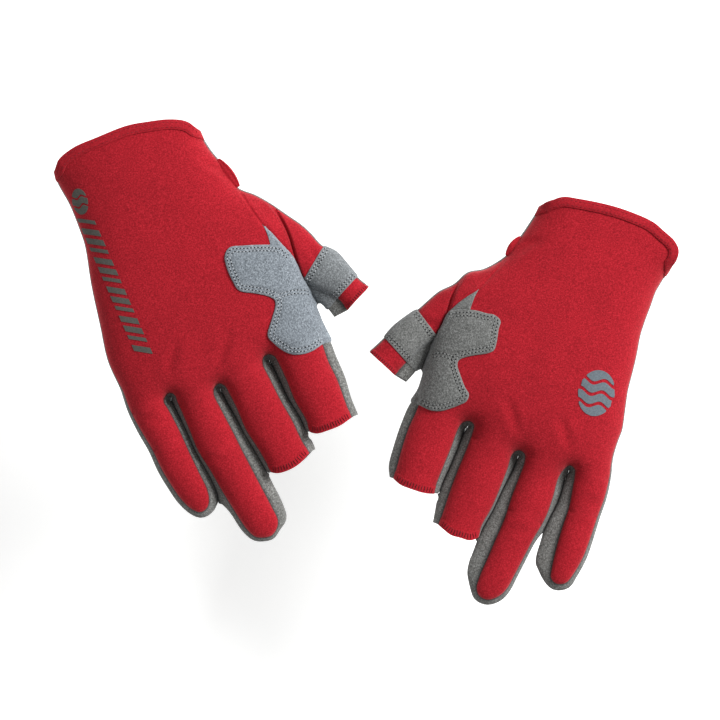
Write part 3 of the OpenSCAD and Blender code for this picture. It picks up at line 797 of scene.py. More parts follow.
        add_line("ring", self.ring, True)
        for name, line in self.lines.items():
            add_line(name, line, False)
        extra = PointSet()
        extra.cells = {k: list(v) for k, v in pts.cells.items()}
        wall = self.is_wall
        for depth in (0.4, 1.0, 1.9):
            for p in (self.ring - self.even_outward * depth)[wall]:
                extra.add(p, 0.34 if depth < 0.5 else 0.55)
        for name, depths in (("welt", (0.55, 1.1, 1.8)), ("seam", (0.6, 1.3)), ("patch", (0.55, 1.2)),
                             ("gusset", (0.6,)), ("inner_band", (0.6, 1.3)), ("outer_band", (0.6, 1.3)),
                             ("index_hem", (0.6,)), ("middle_hem", (0.6,)), ("rim", (0.6,))):
            line = self.lines[name]
            for depth in depths:
                for sign in (-1, 1):
                    for p in line + line_normals(line) * depth * sign:
                        extra.add(p, 0.45)
        zone = np.vstack([self.lines["patch"][:, :2], np.array(self.plan.seam[:2], float)[::-1],
                          self.ring[self._ring_index(self.plan.patch[0])][None]])
        lo, hi = self.ring.min(0), self.ring.max(0)
        for spacing, in_patch in ((self.fine, True), (self.coarse, False)):
            xs = np.arange(lo[0], hi[0], spacing)
            ys = np.arange(lo[1], hi[1], spacing * 0.866)
            gx, gy = np.meshgrid(xs, ys)
            gx = gx + (np.arange(len(ys)) % 2)[:, None] * spacing / 2
            grid = np.column_stack([gx.ravel(), gy.ravel()])
            grid = grid[inside(grid, self.ring)]
            grid = grid[inside(grid, zone) == in_patch]
            for p in grid:
                extra.add(p, spacing * 0.62)
        fill = np.array(extra.points)
        fill = fill[inside(fill, self.ring)]
        coords += [tuple(p) for p in fill.tolist()]
        verts, out_edges, tris, _, from_edges, _ = delaunay_2d_cdt(
            [Vector(c) for c in coords], edges, [], 0, 1e-5, True)
        xy = np.array([(v[0], v[1]) for v in verts], float)
        tri = np.array(tris, int)
        a, b, c = xy[tri[:, 0]], xy[tri[:, 1]], xy[tri[:, 2]]
        twice = (b[:, 0] - a[:, 0]) * (c[:, 1] - a[:, 1]) - (b[:, 1] - a[:, 1]) * (c[:, 0] - a[:, 0])
        tri[twice < 0] = tri[twice < 0][:, ::-1]
        keep = inside((a + b + c) / 3, self.ring) & (np.abs(twice) > 1e-7)
        tri = tri[keep]
        used = np.unique(tri)
        renumber = np.full(len(xy), -1)
        renumber[used] = np.arange(len(used))
        self.points, self.tris = xy[used], renumber[tri]
        self.ring_vertex = np.array([int(np.argmin(np.abs(self.points - p).sum(1))) for p in self.ring])
        self.barriers: dict[str, set[tuple[int, int]]] = {}
        for e, origin in zip(out_edges, from_edges):
            u, v = renumber[e[0]], renumber[e[1]]
            if u < 0 or v < 0:
                continue
            for k in origin:
                if k < len(owner):
                    self.barriers.setdefault(owner[k], set()).add((min(u, v), max(u, v)))

    def _flood(self, barrier: set[tuple[int, int]], seeds: dict[str, np.ndarray]) -> np.ndarray:
        """Names the parts of the plan that barriers divide.

        Args:
            barrier: The mesh edges that can't be crossed.
            seeds: A point inside each named part.

        Returns:
            The name at each triangle.
        """
        centres = self.points[self.tris].mean(1)
        label = np.full(len(self.tris), "", dtype="<U16")
        sides: dict[tuple[int, int], list[int]] = {}
        for t, (a, b, c) in enumerate(self.tris.tolist()):
            for u, v in ((a, b), (b, c), (c, a)):
                sides.setdefault((min(u, v), max(u, v)), []).append(t)
        near: list[list[int]] = [[] for _ in range(len(self.tris))]
        for key, ts in sides.items():
            if len(ts) == 2 and key not in barrier:
                near[ts[0]].append(ts[1])
                near[ts[1]].append(ts[0])
        for name, p in seeds.items():
            start = int(np.argmin(np.linalg.norm(centres - np.array(p[:2]), axis=1)))
            if label[start]:
                LOG.warning("%s: %s and %s are one part", self.plan.side, name, label[start])
            queue = deque([start])
            label[start] = name
            while queue:
                for n in near[queue.popleft()]:
                    if not label[n]:
                        label[n] = name
                        queue.append(n)
        done = np.flatnonzero(label != "")
        for t in np.flatnonzero(label == ""):
            label[t] = label[done[np.argmin(np.linalg.norm(centres[done] - centres[t], axis=1))]]
        return label

    def _labels(self) -> None:
        """Finds the zone and the body of each triangle and each wall edge."""
        plan, m = self.plan, len(self.ring)

        def joined(*names: str) -> set[tuple[int, int]]:
            """The mesh edges of several lines."""
            return set().union(*(self.barriers.get(n, set()) for n in names))

        def mid(line: Sequence[Point]) -> np.ndarray:
            """The middle of a line's two ends."""
            return (np.array(line[0][:2], float) + np.array(line[-1][:2], float)) / 2

        def end_middle(name: str, depth: float) -> np.ndarray:
            """A point just inside the middle of an open end.

            Args:
                name: The end's name.
                depth: How far inside.

            Returns:
                The point.
            """
            chain = self.open_chain(name)
            k = chain[len(chain) // 2]
            return self.ring[k] - self.even_outward[k] * depth

        seeds = {k: np.array(v) for k, v in plan.seeds.items()}
        seeds["band"] = (mid(plan.inner_band) + mid(plan.outer_band)) / 2
        seeds["thumb_hem"] = end_middle("thumb_end", 1.4)
        seeds["thumb"] = end_middle("thumb_end", 4.6)
        seeds["index_hem"] = end_middle("index_hem", 2)
        seeds["middle_hem"] = end_middle("middle_hem", 2)
        seeds["cuff"] = end_middle("rim", 2.5)
        self.zone = self._flood(joined("seam", "patch", "gusset", "inner_band", "outer_band", "index_hem",
                                       "middle_hem", "thumb_end", "rim"), seeds)
        bodies = {"hand": np.array(plan.seeds["back"]), "thumb": seeds["band"]}
        for name, h in self.hinges.items():
            if name != "thumb":
                bodies[name] = h.place[:2] + h.ahead * (9 if name.endswith("_tip") else 15)
        cuts = (k for k in self.lines if k.startswith("cut_"))
        self.body = self._flood(joined("inner_band", *cuts), bodies)
        of_edge = {}
        for t, (a, b, c) in enumerate(self.tris.tolist()):
            for u, v in ((a, b), (b, c), (c, a)):
                of_edge[(u, v)] = t
        rv = self.ring_vertex
        self.edge_tri = np.array([of_edge.get((rv[i], rv[(i + 1) % m]), -1) for i in range(m)])


# --------------------------------------------------------------------------- meshes


@dataclass
class Shell:
    """A closed piece of cloth: an upper sheet, a lower sheet and the rim between them, with painted shade at
    its points if given.
    """

    upper: np.ndarray
    lower: np.ndarray
    upper_normal: np.ndarray
    lower_normal: np.ndarray
    # How much painted shade darkens each point of the form, standing in for the shade in its crevices.
    recess: Optional[np.ndarray] = None

    def piece(self, name: str, faces: Sequence[Sequence[int]]) -> bpy.types.Object:
        """Makes the piece that some of the form's facets cover.

        Args:
            name: The piece's name.
            faces: The facets, as indices into the two sheets.

        Returns:
            The new object, with smooth shading of its own.
        """
        used = sorted({v for f in faces for v in f})
        index = {v: i for i, v in enumerate(used)}
        n = len(used)
        out: list[list[int]] = [[index[v] for v in f] for f in faces]
        normals: list[np.ndarray] = [self.upper_normal[v] for f in faces for v in f]
        directed = {(f[i], f[(i + 1) % len(f)]) for f in out for i in range(len(f))}
        lower = [[v + n for v in reversed(f)] for f in out]
        normals += [-self.lower_normal[v] for f in faces for v in reversed(f)]
        co = np.vstack([self.upper[used], self.lower[used]])
        rims = []
        for a, b in sorted(directed):
            if (b, a) not in directed:
                quad = [b, a, a + n, b + n]
                rims.append(quad)
                face = unit(np.cross(co[quad[2]] - co[quad[0]], co[quad[3]] - co[quad[1]]))
                normals += [face] * 4
        made = new_mesh(name, co, out + lower + rims, np.array(normals))
        # The painted shade goes on the mesh as a point attribute, and the material darkens its colour by it.
        if self.recess is not None:
            layer = made.data.attributes.new("recess", "FLOAT", "POINT")
            layer.data.foreach_set("value", np.tile(self.recess[used], 2).astype(np.float32))
        return made


def new_mesh(name: str, co: np.ndarray, faces: Sequence[Sequence[int]],
             normals: Optional[np.ndarray] = None) -> bpy.types.Object:
    """Makes an object from points in millimetres.

    Args:
        name: The object's name.
        co: Its points.
        faces: Its faces.
        normals: One normal to a corner, or nothing for plain smooth shading.

    Returns:
        The new object, linked to the scene.
    """
    mesh = bpy.data.meshes.new(name)
    mesh.from_pydata((co * METRE).tolist(), [], [list(map(int, f)) for f in faces])
    mesh.polygons.foreach_set("use_smooth", [True] * len(mesh.polygons))
    if normals is not None:
        mesh.normals_split_custom_set([tuple(map(float, v)) for v in normals])
    mesh.update()
    obj = bpy.data.objects.new(name, mesh)
    bpy.context.scene.collection.objects.link(obj)
    return obj


def grid_faces(rows: int, columns: int) -> list[tuple[int, ...]]:
    """The facets of a grid of points.

    Args:
        rows: How many rows of points there are.
        columns: How many points are in a row.

    Returns:
        The facets, as places in the list of points.
    """
    return [(i * columns + j, i * columns + j + 1, (i + 1) * columns + j + 1, (i + 1) * columns + j)
            for i in range(rows - 1) for j in range(columns - 1)]


def vertex_normals(co: np.ndarray, faces: Sequence[Sequence[int]]) -> np.ndarray:
    """Area-weighted normals of the points that faces use, and zero elsewhere.

    Args:
        co: The points.
        faces: Triangles and quads.

    Returns:
        One normal to a point.
    """
    total = np.zeros_like(co)
    for size in (3, 4):
        some = np.array([f for f in faces if len(f) == size], int).reshape(-1, size)
        if len(some):
            a, b, c = co[some[:, 0]], co[some[:, 1]], co[some[:, 2]]
            d = co[some[:, 3]] if size == 4 else a
            face = np.cross(c - a, (d - b) if size == 4 else (c - b))
            for k in range(size):
                np.add.at(total, some[:, k], face)
    return unit(total)


class Drape:
    """Finds places on a surface from above."""

    def __init__(self, co: np.ndarray, faces: Sequence[Sequence[int]]) -> None:
        """Prepares a surface for looking up places on it."""
        self.tree = BVHTree.FromPolygons([tuple(p) for p in co.tolist()], [tuple(map(int, f)) for f in faces])

    def at(self, x: float, y: float) -> Optional[tuple[np.ndarray, np.ndarray]]:
        """The point and the normal under a place in the plan, or None beside the surface."""
        hit, normal, _, _ = self.tree.ray_cast(Vector((x, y, 90)), Vector((0, 0, -1)))
        return None if hit is None else (np.array(hit), np.array(normal))


@dataclass
class GloveForm:
    """The inflated form of one glove, from which its cloth is cut."""

    flat: PlanMesh
    rise: float = 17.0
    reach: float = 18.0
    rows: int = 9
    edge_height: float = 1.8
    cloth: float = 1.6
    tongue: float = 0.3

    def build(self) -> None:
        """Works out every point, facet and normal of the form."""
        self._heights()
        self._positions()
        self._faces()
        self._normals()

    def _heights(self) -> None:
        """Solves the height of the back and the shift of the palm over the plan."""
        flat = self.flat
        n, rv = len(flat.points), flat.ring_vertex
        solver = PlanField(flat.points, flat.tris)
        wall = np.zeros(n, bool)
        wall[rv[flat.is_wall]] = True
        held, value = wall.copy(), np.zeros(n)
        welt = flat.lines["welt"]
        length = np.linspace(0, 1, len(welt))
        full = self.reach ** 2
        for p, s in zip(welt, length):
            k = int(np.argmin(np.abs(flat.points - p).sum(1)))
            if not wall[k]:
                held[k], value[k] = True, 0.13 * full * math.sin(math.pi * s) ** 0.8
        self.puff = solver.solve(held, value, 1.0, 1.0 / full) / full
        base = np.zeros(n)
        base[rv] = flat.height
        self.base = solver.solve(wall, base)
        out = flat.outward * (0.75 * (flat.bulge + flat.low_bulge) - (1 - flat.closed))[:, None]
        chain = flat.open_chain("rim")
        a, b = flat.ring[chain[0]], flat.ring[chain[-1]]
        along = unit(b - a)
        rim = flat.ring[chain[1:-1]]
        pull = a + ((rim - a) @ along)[:, None] * along - rim
        shift = np.zeros((n, 2))
        shift[rv] = out
        shift[rv[chain[1:-1]]] = pull * 0.55
        fixed = wall.copy()
        fixed[rv[chain]] = True
        self.shift = np.column_stack([solver.solve(fixed, shift[:, k]) for k in (0, 1)])

    def _relief(self, p: np.ndarray) -> np.ndarray:
        """Small rise and fall of the cloth: slack, the sewn seams and the creases at the webs.

        Args:
            p: Points of the plan.

        Returns:
            One height to a point.
        """
        flat, sign = self.flat, (1.0 if self.flat.plan.side == "right" else -1.0)
        z = np.zeros(len(p))
        for i, (x, y) in enumerate(p.tolist()):
            z[i] = (0.42 * noise.noise(Vector((x * 0.035 * sign + 7, y * 0.035 + 3, 1.7)))
                    + 0.20 * noise.noise(Vector((x * 0.11 * sign, y * 0.08, 5.1))))
        z *= smooth(self.puff * 6)
        for name, depth, width in (("welt", 1.7, 0.8), ("seam", 0.7, 0.6)):
            d = line_distance(p, flat.lines[name])
            z += -depth * np.exp(-(d / width) ** 2) + 0.3 * depth * np.exp(-((d - 2.0 * width) / width) ** 2)
        for crease, depth, width in self.creases():
            line = np.array(crease, float)
            middle, reach = line.mean(0), max(np.linalg.norm(line[-1] - line[0]) * 0.5, 1)
            fade = np.exp(-(np.linalg.norm(p - middle, axis=1) / reach) ** 4)
            d = line_distance(p, smooth_line(line, 1.5))
            z -= depth * fade * (np.exp(-(d / width) ** 2) - 0.35 * np.exp(-((d - 2.2 * width) / width) ** 2))
        return z

    def creases(self) -> tuple[tuple[tuple[Point, ...], float, float], ...]:
        """The soft folds of the cloth: a line, a depth and a width for each."""
        return CREASES[self.flat.plan.side]

    def _positions(self) -> None:
        """Places the back, the palm and the walls, and works out the painted shade in their crevices."""
        flat = self.flat
        n, rows = len(flat.points), self.rows
        top = np.column_stack([flat.points, self.base + self.rise * np.sqrt(np.maximum(self.puff, 0))
                               + self._relief(flat.points)])
        top[flat.ring_vertex[flat.is_wall], 2] = flat.height[flat.is_wall]
        near = np.full(n, FAR)
        edge = flat.ring[flat.is_wall]
        for block in range(0, n, BLOCK):
            d = flat.points[block:block + BLOCK, None, :] - edge[None]
            near[block:block + BLOCK] = np.sqrt((d ** 2).sum(2).min(1))
        under = np.column_stack([flat.points + self.shift,
                                 self.edge_height * (1 - smooth(near / 6.0)) ** 1.5])
        self.column = np.full(len(flat.ring), -1)
        walls = np.flatnonzero(flat.is_wall)
        self.column[walls] = np.arange(len(walls))
        v = (np.arange(1, rows) / rows)[None, :]
        b, low, zs = flat.bulge[walls, None], flat.low_bulge[walls, None], flat.height[walls, None]
        taper = 1 - 0.25 * smooth((v - 0.78) / 0.22)
        rise_out = np.sin(np.pi / 2 * np.clip(v / 0.55, 0, 1)) * taper
        low_out = smooth((v - 0.35) / 0.4) * taper
        closed = flat.closed[walls, None]
        off = b * rise_out + low * low_out + (0.55 * np.sin(np.pi * v) - v ** 2.2) * (1 - closed)
        step = np.exp(-((v - 6 / rows) / 0.09) ** 2) - np.exp(-((v - 8 / rows) / 0.09) ** 2)
        off = off + closed * flat.lock[walls, None] * self.tongue * step
        z = zs + (self.edge_height - zs) * v
        xy = flat.ring[walls][:, None, :] + flat.outward[walls][:, None, :] * off[..., None]
        wall = np.concatenate([xy, z[..., None]], 2).reshape(-1, 3)
        self.co = np.vstack([top, under, wall])
        # Painted shade: three things are darkened in the colour. These are the lower rows of a wall where the
        # gap between two fingers closes, the palm's edge under those gaps, and a thin line along the top of
        # every wall. Together they stand in for the shade in the crevices and where the back turns down into
        # a wall.
        shut = flat.shut[walls, None]
        deep = (closed * (1 - 0.5 * shut) * smooth((v - 0.46 - 0.12 * shut) / 0.3)).ravel()
        shade = np.zeros(n)
        shade[flat.ring_vertex] = flat.closed
        seam = np.zeros(n)
        seam[flat.ring_vertex[flat.is_wall]] = 0.8
        self.recess = np.concatenate([seam, shade, deep])
        self.top_count = n

    def _wall_vertex(self, ring_index: int, row: int) -> int:
        """The point of a wall at a place along the outline and a row down.

        Args:
            ring_index: The outline sample.
            row: The row, from 0 at the top.

        Returns:
            Its place in the list of points.
        """
        n = self.top_count
        if row == 0:
            return int(self.flat.ring_vertex[ring_index])
        if row == self.rows:
            return n + int(self.flat.ring_vertex[ring_index])
        return 2 * n + int(self.column[ring_index]) * (self.rows - 1) + row - 1

    def _faces(self) -> None:
        """Lists the facets, each with its part, zone, body and row down the wall."""
        flat, n, m = self.flat, self.top_count, len(self.flat.ring)
        zones, bodies = flat.zone.tolist(), flat.body.tolist()
        self.faces: list[tuple[int, ...]] = []
        self.part: list[Part] = []
        self.zone: list[str] = []
        self.body: list[str] = []
        self.row: list[int] = []

        def add(face: tuple[int, ...], part: Part, t: int, row: int = 0) -> None:
            """Adds a facet.

            Args:
                face: Its points.
                part: What it belongs to.
                t: The triangle of the plan that it goes with.
                row: Its row on a wall.
            """
            for values, value in ((self.faces, face), (self.part, part), (self.zone, zones[t]),
                                  (self.body, bodies[t]), (self.row, row)):
                values.append(value)

        for t, tri in enumerate(flat.tris.tolist()):
            add(tuple(tri), Part.BACK, t)
        for i in np.flatnonzero(flat.wall_edge).tolist():
            j = (i + 1) % m
            for k in range(self.rows):
                add((self._wall_vertex(i, k), self._wall_vertex(i, k + 1),
                     self._wall_vertex(j, k + 1), self._wall_vertex(j, k)),
                    Part.WALL, int(flat.edge_tri[i]), k)
        for t, (a, b, c) in enumerate(flat.tris.tolist()):
            add((n + c, n + b, n + a), Part.UNDER, t)

    def _normals(self) -> None:
        """Finds the normals of the back, of the rest and of both together."""
        back = [f for f, p in zip(self.faces, self.part) if p is Part.BACK]
        rest = [f for f, p in zip(self.faces, self.part) if p is not Part.BACK]
        self.back_normal = vertex_normals(self.co, back)
        self.rest_normal = vertex_normals(self.co, rest)
        self.normal = vertex_normals(self.co, self.faces)
        self.inner = self.co - self.normal * self.cloth
        self.drape = Drape(self.co, back)

    def pick(self, test: Callable[[Part, str, str, int], bool]) -> list[tuple[int, ...]]:
        """The facets whose part, zone, body and row pass a test."""
        return [f for f, p, z, b, r in zip(self.faces, self.part, self.zone, self.body, self.row)
                if test(p, z, b, r)]

    def cloth_piece(self, name: str, parts: Iterable[Part], body: str,
                    zones: Optional[set[str]] = None, without: Optional[set[str]] = None) -> bpy.types.Object:
        """Cuts a piece of the form's cloth.

        Args:
            name: The piece's name.
            parts: The parts of the form that it covers.
            body: The body that it belongs to.
            zones: The only zones that it covers, if not all.
            without: Zones that it leaves out.

        Returns:
            The piece.
        """
        wanted, skip = set(parts), without or set()
        faces = self.pick(lambda p, z, b, r: p in wanted and b == body and (zones is None or z in zones)
                          and z not in skip)
        normal = self.back_normal if wanted == {Part.BACK} else self.rest_normal
        return Shell(self.co, self.inner, normal, self.normal, self.recess).piece(name, faces)

    def overlay(self, faces: list[tuple[int, ...]], thickness: float, puff: float = 0.0,
                grooves: Sequence[tuple[np.ndarray, float, float]] = (), edge: float = 0.7,
                lip: Optional[Callable[[np.ndarray], np.ndarray]] = None) -> Shell:
        """Lays a second layer of cloth over some facets.

        Args:
            faces: The facets that it covers.
            thickness: How far its top stands off the cloth below.
            puff: How much further its middle is raised.
            grooves: Lines pressed into it, each with a depth and a width.
            edge: How wide its rounded edge is.
            lip: Extra movement of the upper sheet, from the points on its border.

        Returns:
            The layer's two sheets, from which pieces are cut.
        """
        used = np.array(sorted({v for f in faces for v in f}))
        directed = {(f[i], f[(i + 1) % len(f)]) for f in faces for i in range(len(f))}
        border = np.array(sorted({v for a, b in directed if (b, a) not in directed for v in (a, b)}))
        near = np.full(len(used), FAR)
        for block in range(0, len(used), BLOCK):
            d = self.co[used[block:block + BLOCK], None, :] - self.co[border][None]
            near[block:block + BLOCK] = np.sqrt((d ** 2).sum(2).min(1))
        x = np.clip(near / edge, 0, 1)
        lift = thickness * (0.5 + 0.5 * np.sqrt(1 - (1 - x) ** 2)) + puff * smooth(near / 7.0)
        for line, depth, width in grooves:
            lift -= depth * np.exp(-(line_distance(self.co[used], line) / width) ** 2)
        upper = self.co.copy()
        upper[used] = self.co[used] + self.normal[used] * lift[:, None]
        if lip is not None:
            upper[border] += lip(self.co[border])
        normal = vertex_normals(upper, faces)
        return Shell(upper, self.co - self.normal * 0.12, normal, self.normal)


# --------------------------------------------------------------------------- sewing


@dataclass
class Stitching:
    """Rows of sewn stitches, each stitch a low rounded bar with a dark bar beside it, painted shade for its
    needle hole.
    """

    length: float = 1.25
    pitch: float = 1.75
    width: float = 0.52
    height: float = 0.36
    # Length of the dark bar painted as the shade in each needle hole; none at 0.
    hole: float = 0.0
    sides: int = 6

    def _bars(self, at: np.ndarray, along: np.ndarray, up: np.ndarray, length: float, width: float,
              height: float) -> tuple[np.ndarray, list[list[int]]]:
        """Rounded bars at given places.

        Args:
            at: The middle of each bar.
            along: Its direction.
            up: Its upward direction.
            length: The bars' length.
            width: Their width.
            height: Their height.

        Returns:
            The points and the faces of all the bars.
        """
        side = unit(np.cross(up, along))
        rings, k = [(-0.36, 0.72), (0.0, 1.0), (0.36, 0.72)], self.sides
        angle = np.arange(k) * 2 * math.pi / k
        local = [(-0.5, 0.0, 0.0)]
        for x, r in rings:
            local += [(x, r * math.cos(a) * 0.5, r * math.sin(a) * 0.5) for a in angle]
        local.append((0.5, 0.0, 0.0))
        local_points = np.array(local)
        co = (at[:, None, :] + along[:, None, :] * (local_points[:, 0] * length)[None, :, None]
              + side[:, None, :] * (local_points[:, 1] * width)[None, :, None]
              + up[:, None, :] * (local_points[:, 2] * height)[None, :, None]).reshape(-1, 3)
        base_faces = [[0, 1 + (i + 1) % k, 1 + i] for i in range(k)]
        for r in range(len(rings) - 1):
            a = 1 + r * k
            base_faces += [[a + i, a + (i + 1) % k, a + k + (i + 1) % k, a + k + i] for i in range(k)]
        a = 1 + (len(rings) - 1) * k
        base_faces += [[a + i, a + (i + 1) % k, len(local) - 1] for i in range(k)]
        faces = [[v + b * len(local) for v in f] for b in range(len(at)) for f in base_faces]
        return co, faces

    def run(self, drape: Drape, lines: Sequence[np.ndarray], slant: float = 0.0
            ) -> Optional[tuple[np.ndarray, list[list[int]], np.ndarray]]:
        """Sews rows along lines in the plan.

        Args:
            drape: The surface that they are sewn on.
            lines: The rows.
            slant: How far each stitch leans out of its row, in radians, turn about.

        Returns:
            The points, the faces and one value to a face: 0 on a stitch and 1 on the dark bar painted as a
            needle hole's shade.
        """
        cos, faces, kinds, base = [], [], [], 0
        for line in lines:
            even = smooth_line(np.asarray(line, float)[:, :2], self.pitch) if len(line) > 1 else line
            if len(even) < 3:
                continue
            tangent = unit(np.gradient(even, axis=0))
            left = np.column_stack([-tangent[:, 1], tangent[:, 0]])
            turn = np.where(np.arange(len(even)) % 2, 1.0, -1.0)[:, None]
            ahead = unit(tangent + left * turn * math.tan(slant))
            found = [(drape.at(*p), d) for p, d in zip(even.tolist(), ahead)]
            found = [(h, d) for h, d in found if h is not None and h[1][2] > 0.12]
            if not found:
                continue
            at, up = np.array([h[0] for h, _ in found]), np.array([h[1] for h, _ in found])
            flat_ahead = np.array([[d[0], d[1], 0.0] for _, d in found])
            along = unit(flat_ahead - up * (flat_ahead * up).sum(1)[:, None])
            co, fs = self._bars(at + up * 0.06, along, up, self.length, self.width, self.height)
            cos.append(co)
            faces += [[v + base for v in f] for f in fs]
            kinds += [0] * len(fs)
            base += len(co)
            # Painted shade: a dark bar between two stitches stands in for the shade in the needle hole.
            if self.hole > 0:
                co, fs = self._bars(at + along * self.pitch / 2 + up * 0.1, along, up, self.hole,
                                    self.width * 1.35, 0.16)
                cos.append(co)
                faces += [[v + base for v in f] for f in fs]
                kinds += [1] * len(fs)
                base += len(co)
        if not cos:
            return None
        return np.vstack(cos), faces, np.array(kinds)


# The double rows carry dark bars painted as the shade in their needle holes.
DOUBLE_ROW = Stitching(1.15, 1.85, 0.52, 0.4, 0.85)
OVERLOCK = Stitching(3.2, 1.5, 0.55, 0.5)
THUMB_OVERLOCK = Stitching(2.0, 1.4, 0.5, 0.4)
CUFF_ROW = Stitching(1.7, 2.3, 0.4, 0.3)
SEAM_ROW = Stitching(1.5, 2.0, 0.4, 0.3)
OVERLOCK_SLANT = 1.5


def offset_row(line: np.ndarray, depth: float, clear: Sequence[np.ndarray] = ()) -> np.ndarray:
    """A line beside another at a distance, without the loops that sharp corners make.

    Args:
        line: The line.
        depth: The distance, positive to the left.
        clear: Other lines that it keeps away from by the same distance.

    Returns:
        The new line.
    """
    fine = smooth_line(line[:, :2], 0.5)
    moved = fine + line_normals(fine) * depth
    keep = line_distance(moved, fine) > abs(depth) - 0.08
    for other in clear:
        keep &= line_distance(moved, other) > abs(depth) * 0.6
    moved = moved[keep]
    return smooth_line(moved, 0.8) if len(moved) > 3 else moved


# --------------------------------------------------------------------------- finishes


def srgb(r: float, g: float, b: float) -> tuple[float, float, float, float]:
    """A colour given as screen values from 0 to 255, in the renderer's own linear values.

    Args:
        r: Red.
        g: Green.
        b: Blue.

    Returns:
        Red, green, blue and an alpha of one.
    """
    def one(c: float) -> float:
        """One channel."""
        c /= 255
        return c / 12.92 if c <= 0.04045 else ((c + 0.055) / 1.055) ** 2.4
    return (one(r), one(g), one(b), 1.0)


@dataclass
class Nodes:
    """A node tree that is easy to add to."""

    tree: bpy.types.NodeTree

    def add(self, kind: str, inputs: Optional[dict] = None, **settings: object) -> bpy.types.Node:
        """Adds a node.

        Args:
            kind: Blender's name for it.
            inputs: Values or links for its sockets, by name or number.
            settings: Its own settings.

        Returns:
            The node.
        """
        node = self.tree.nodes.new(kind)
        for key, value in settings.items():
            setattr(node, key, value)
        for key, value in (inputs or {}).items():
            if isinstance(value, bpy.types.NodeSocket):
                self.tree.links.new(value, node.inputs[key])
            else:
                node.inputs[key].default_value = value
        return node

    def math(self, operation: str, a: object, b: object = 0.0, clamp: bool = False) -> bpy.types.NodeSocket:
        """Adds a sum of two values and returns its result."""
        return self.add("ShaderNodeMath", {0: a, 1: b}, operation=operation, use_clamp=clamp).outputs[0]

    def mix(self, share: object, a: object, b: object, blend: str = "MIX") -> bpy.types.NodeSocket:
        """Mixes two colours.

        Args:
            share: How much of the second there is.
            a: The first colour.
            b: The second.
            blend: How they are mixed.

        Returns:
            The mixed colour.
        """
        node = self.add("ShaderNodeMix", data_type="RGBA", blend_type=blend)
        for key, value in ((0, share), (6, a), (7, b)):
            if isinstance(value, bpy.types.NodeSocket):
                self.tree.links.new(value, node.inputs[key])
            else:
                node.inputs[key].default_value = value
        return node.outputs[2]

    def noise(self, vector: bpy.types.NodeSocket, scale: object, **inputs: float) -> bpy.types.NodeSocket:
        """Adds a noise texture and returns its value."""
        return self.add("ShaderNodeTexNoise", {"Vector": vector, "Scale": scale, **inputs}).outputs[0]

    def blend(self, a: object, a_share: float, b: object, b_share: float) -> bpy.types.NodeSocket:
        """Adds up two values, each by its share."""
        return self.math("ADD", self.math("MULTIPLY", a, a_share), self.math("MULTIPLY", b, b_share))

    def send(self, out: bpy.types.Node, **values: bpy.types.NodeSocket) -> None:
        """Links values to the sockets of a group's output node."""
        for key, value in values.items():
            self.tree.links.new(value, out.inputs[key])

    def ramp(self, value: bpy.types.NodeSocket, stops: Sequence[tuple[float, tuple]]) -> bpy.types.NodeSocket:
        """Maps a value to colours.

        Args:
            value: The value.
            stops: Each place from 0 to 1 and its colour.

        Returns:
            The colour.
        """
        node = self.add("ShaderNodeValToRGB", {0: value})
        while len(node.color_ramp.elements) < len(stops):
            node.color_ramp.elements.new(0.5)
        for element, (place, colour) in zip(node.color_ramp.elements, stops):
            element.position, element.color = place, colour
        return node.outputs[0]


def group(name: str, inputs: dict[str, float], outputs: Sequence[str],
          fill: Callable[[Nodes, bpy.types.Node, bpy.types.Node], None]) -> bpy.types.NodeTree:
    """Makes a shader node group once.

    Args:
        name: Its name.
        inputs: Its number sockets and their values; a Vector socket comes first.
        outputs: Its number outputs.
        fill: Draws its inside between the input and the output node.

    Returns:
        The group.
    """
    tree = bpy.data.node_groups.get(name)
    if tree is not None:
        return tree
    tree = bpy.data.node_groups.new(name, "ShaderNodeTree")
    tree.interface.new_socket(name="Vector", in_out="INPUT", socket_type="NodeSocketVector")
    for key, value in inputs.items():
        socket = tree.interface.new_socket(name=key, in_out="INPUT", socket_type="NodeSocketFloat")
        socket.default_value = value
    for key in outputs:
        tree.interface.new_socket(name=key, in_out="OUTPUT", socket_type="NodeSocketFloat")
    nodes = Nodes(tree)
    fill(nodes, nodes.add("NodeGroupInput"), nodes.add("NodeGroupOutput"))
    return tree


def heather(n: Nodes, given: bpy.types.Node, out: bpy.types.Node) -> None:
    """Speckled colour of a yarn-dyed knit, and the height of its loops and nap.

    Args:
        n: The group's nodes.
        given: The group's inputs.
        out: The group's outputs.
    """
    v, scale = given.outputs["Vector"], given.outputs["Scale"]
    speck = n.noise(v, scale, Detail=5.0, Roughness=0.7)
    loops = n.noise(v, n.math("MULTIPLY", scale, 3.1), Detail=2.0)
    cloud = n.noise(v, n.math("MULTIPLY", scale, 0.045), Detail=3.0)
    rib = n.add("ShaderNodeTexWave", {"Vector": v, "Scale": n.math("MULTIPLY", scale, 0.62),
                                      "Distortion": 2.5, "Detail": 2.0, "Detail Scale": 2.0},
                bands_direction="DIAGONAL")
    ribs = n.math("MULTIPLY", rib.outputs["Fac"], 0.14)
    n.send(out, Tone=n.blend(speck, 0.75, loops, 0.25), Cloud=cloud,
           Height=n.math("ADD", n.blend(loops, 0.6, speck, 0.3), ribs))


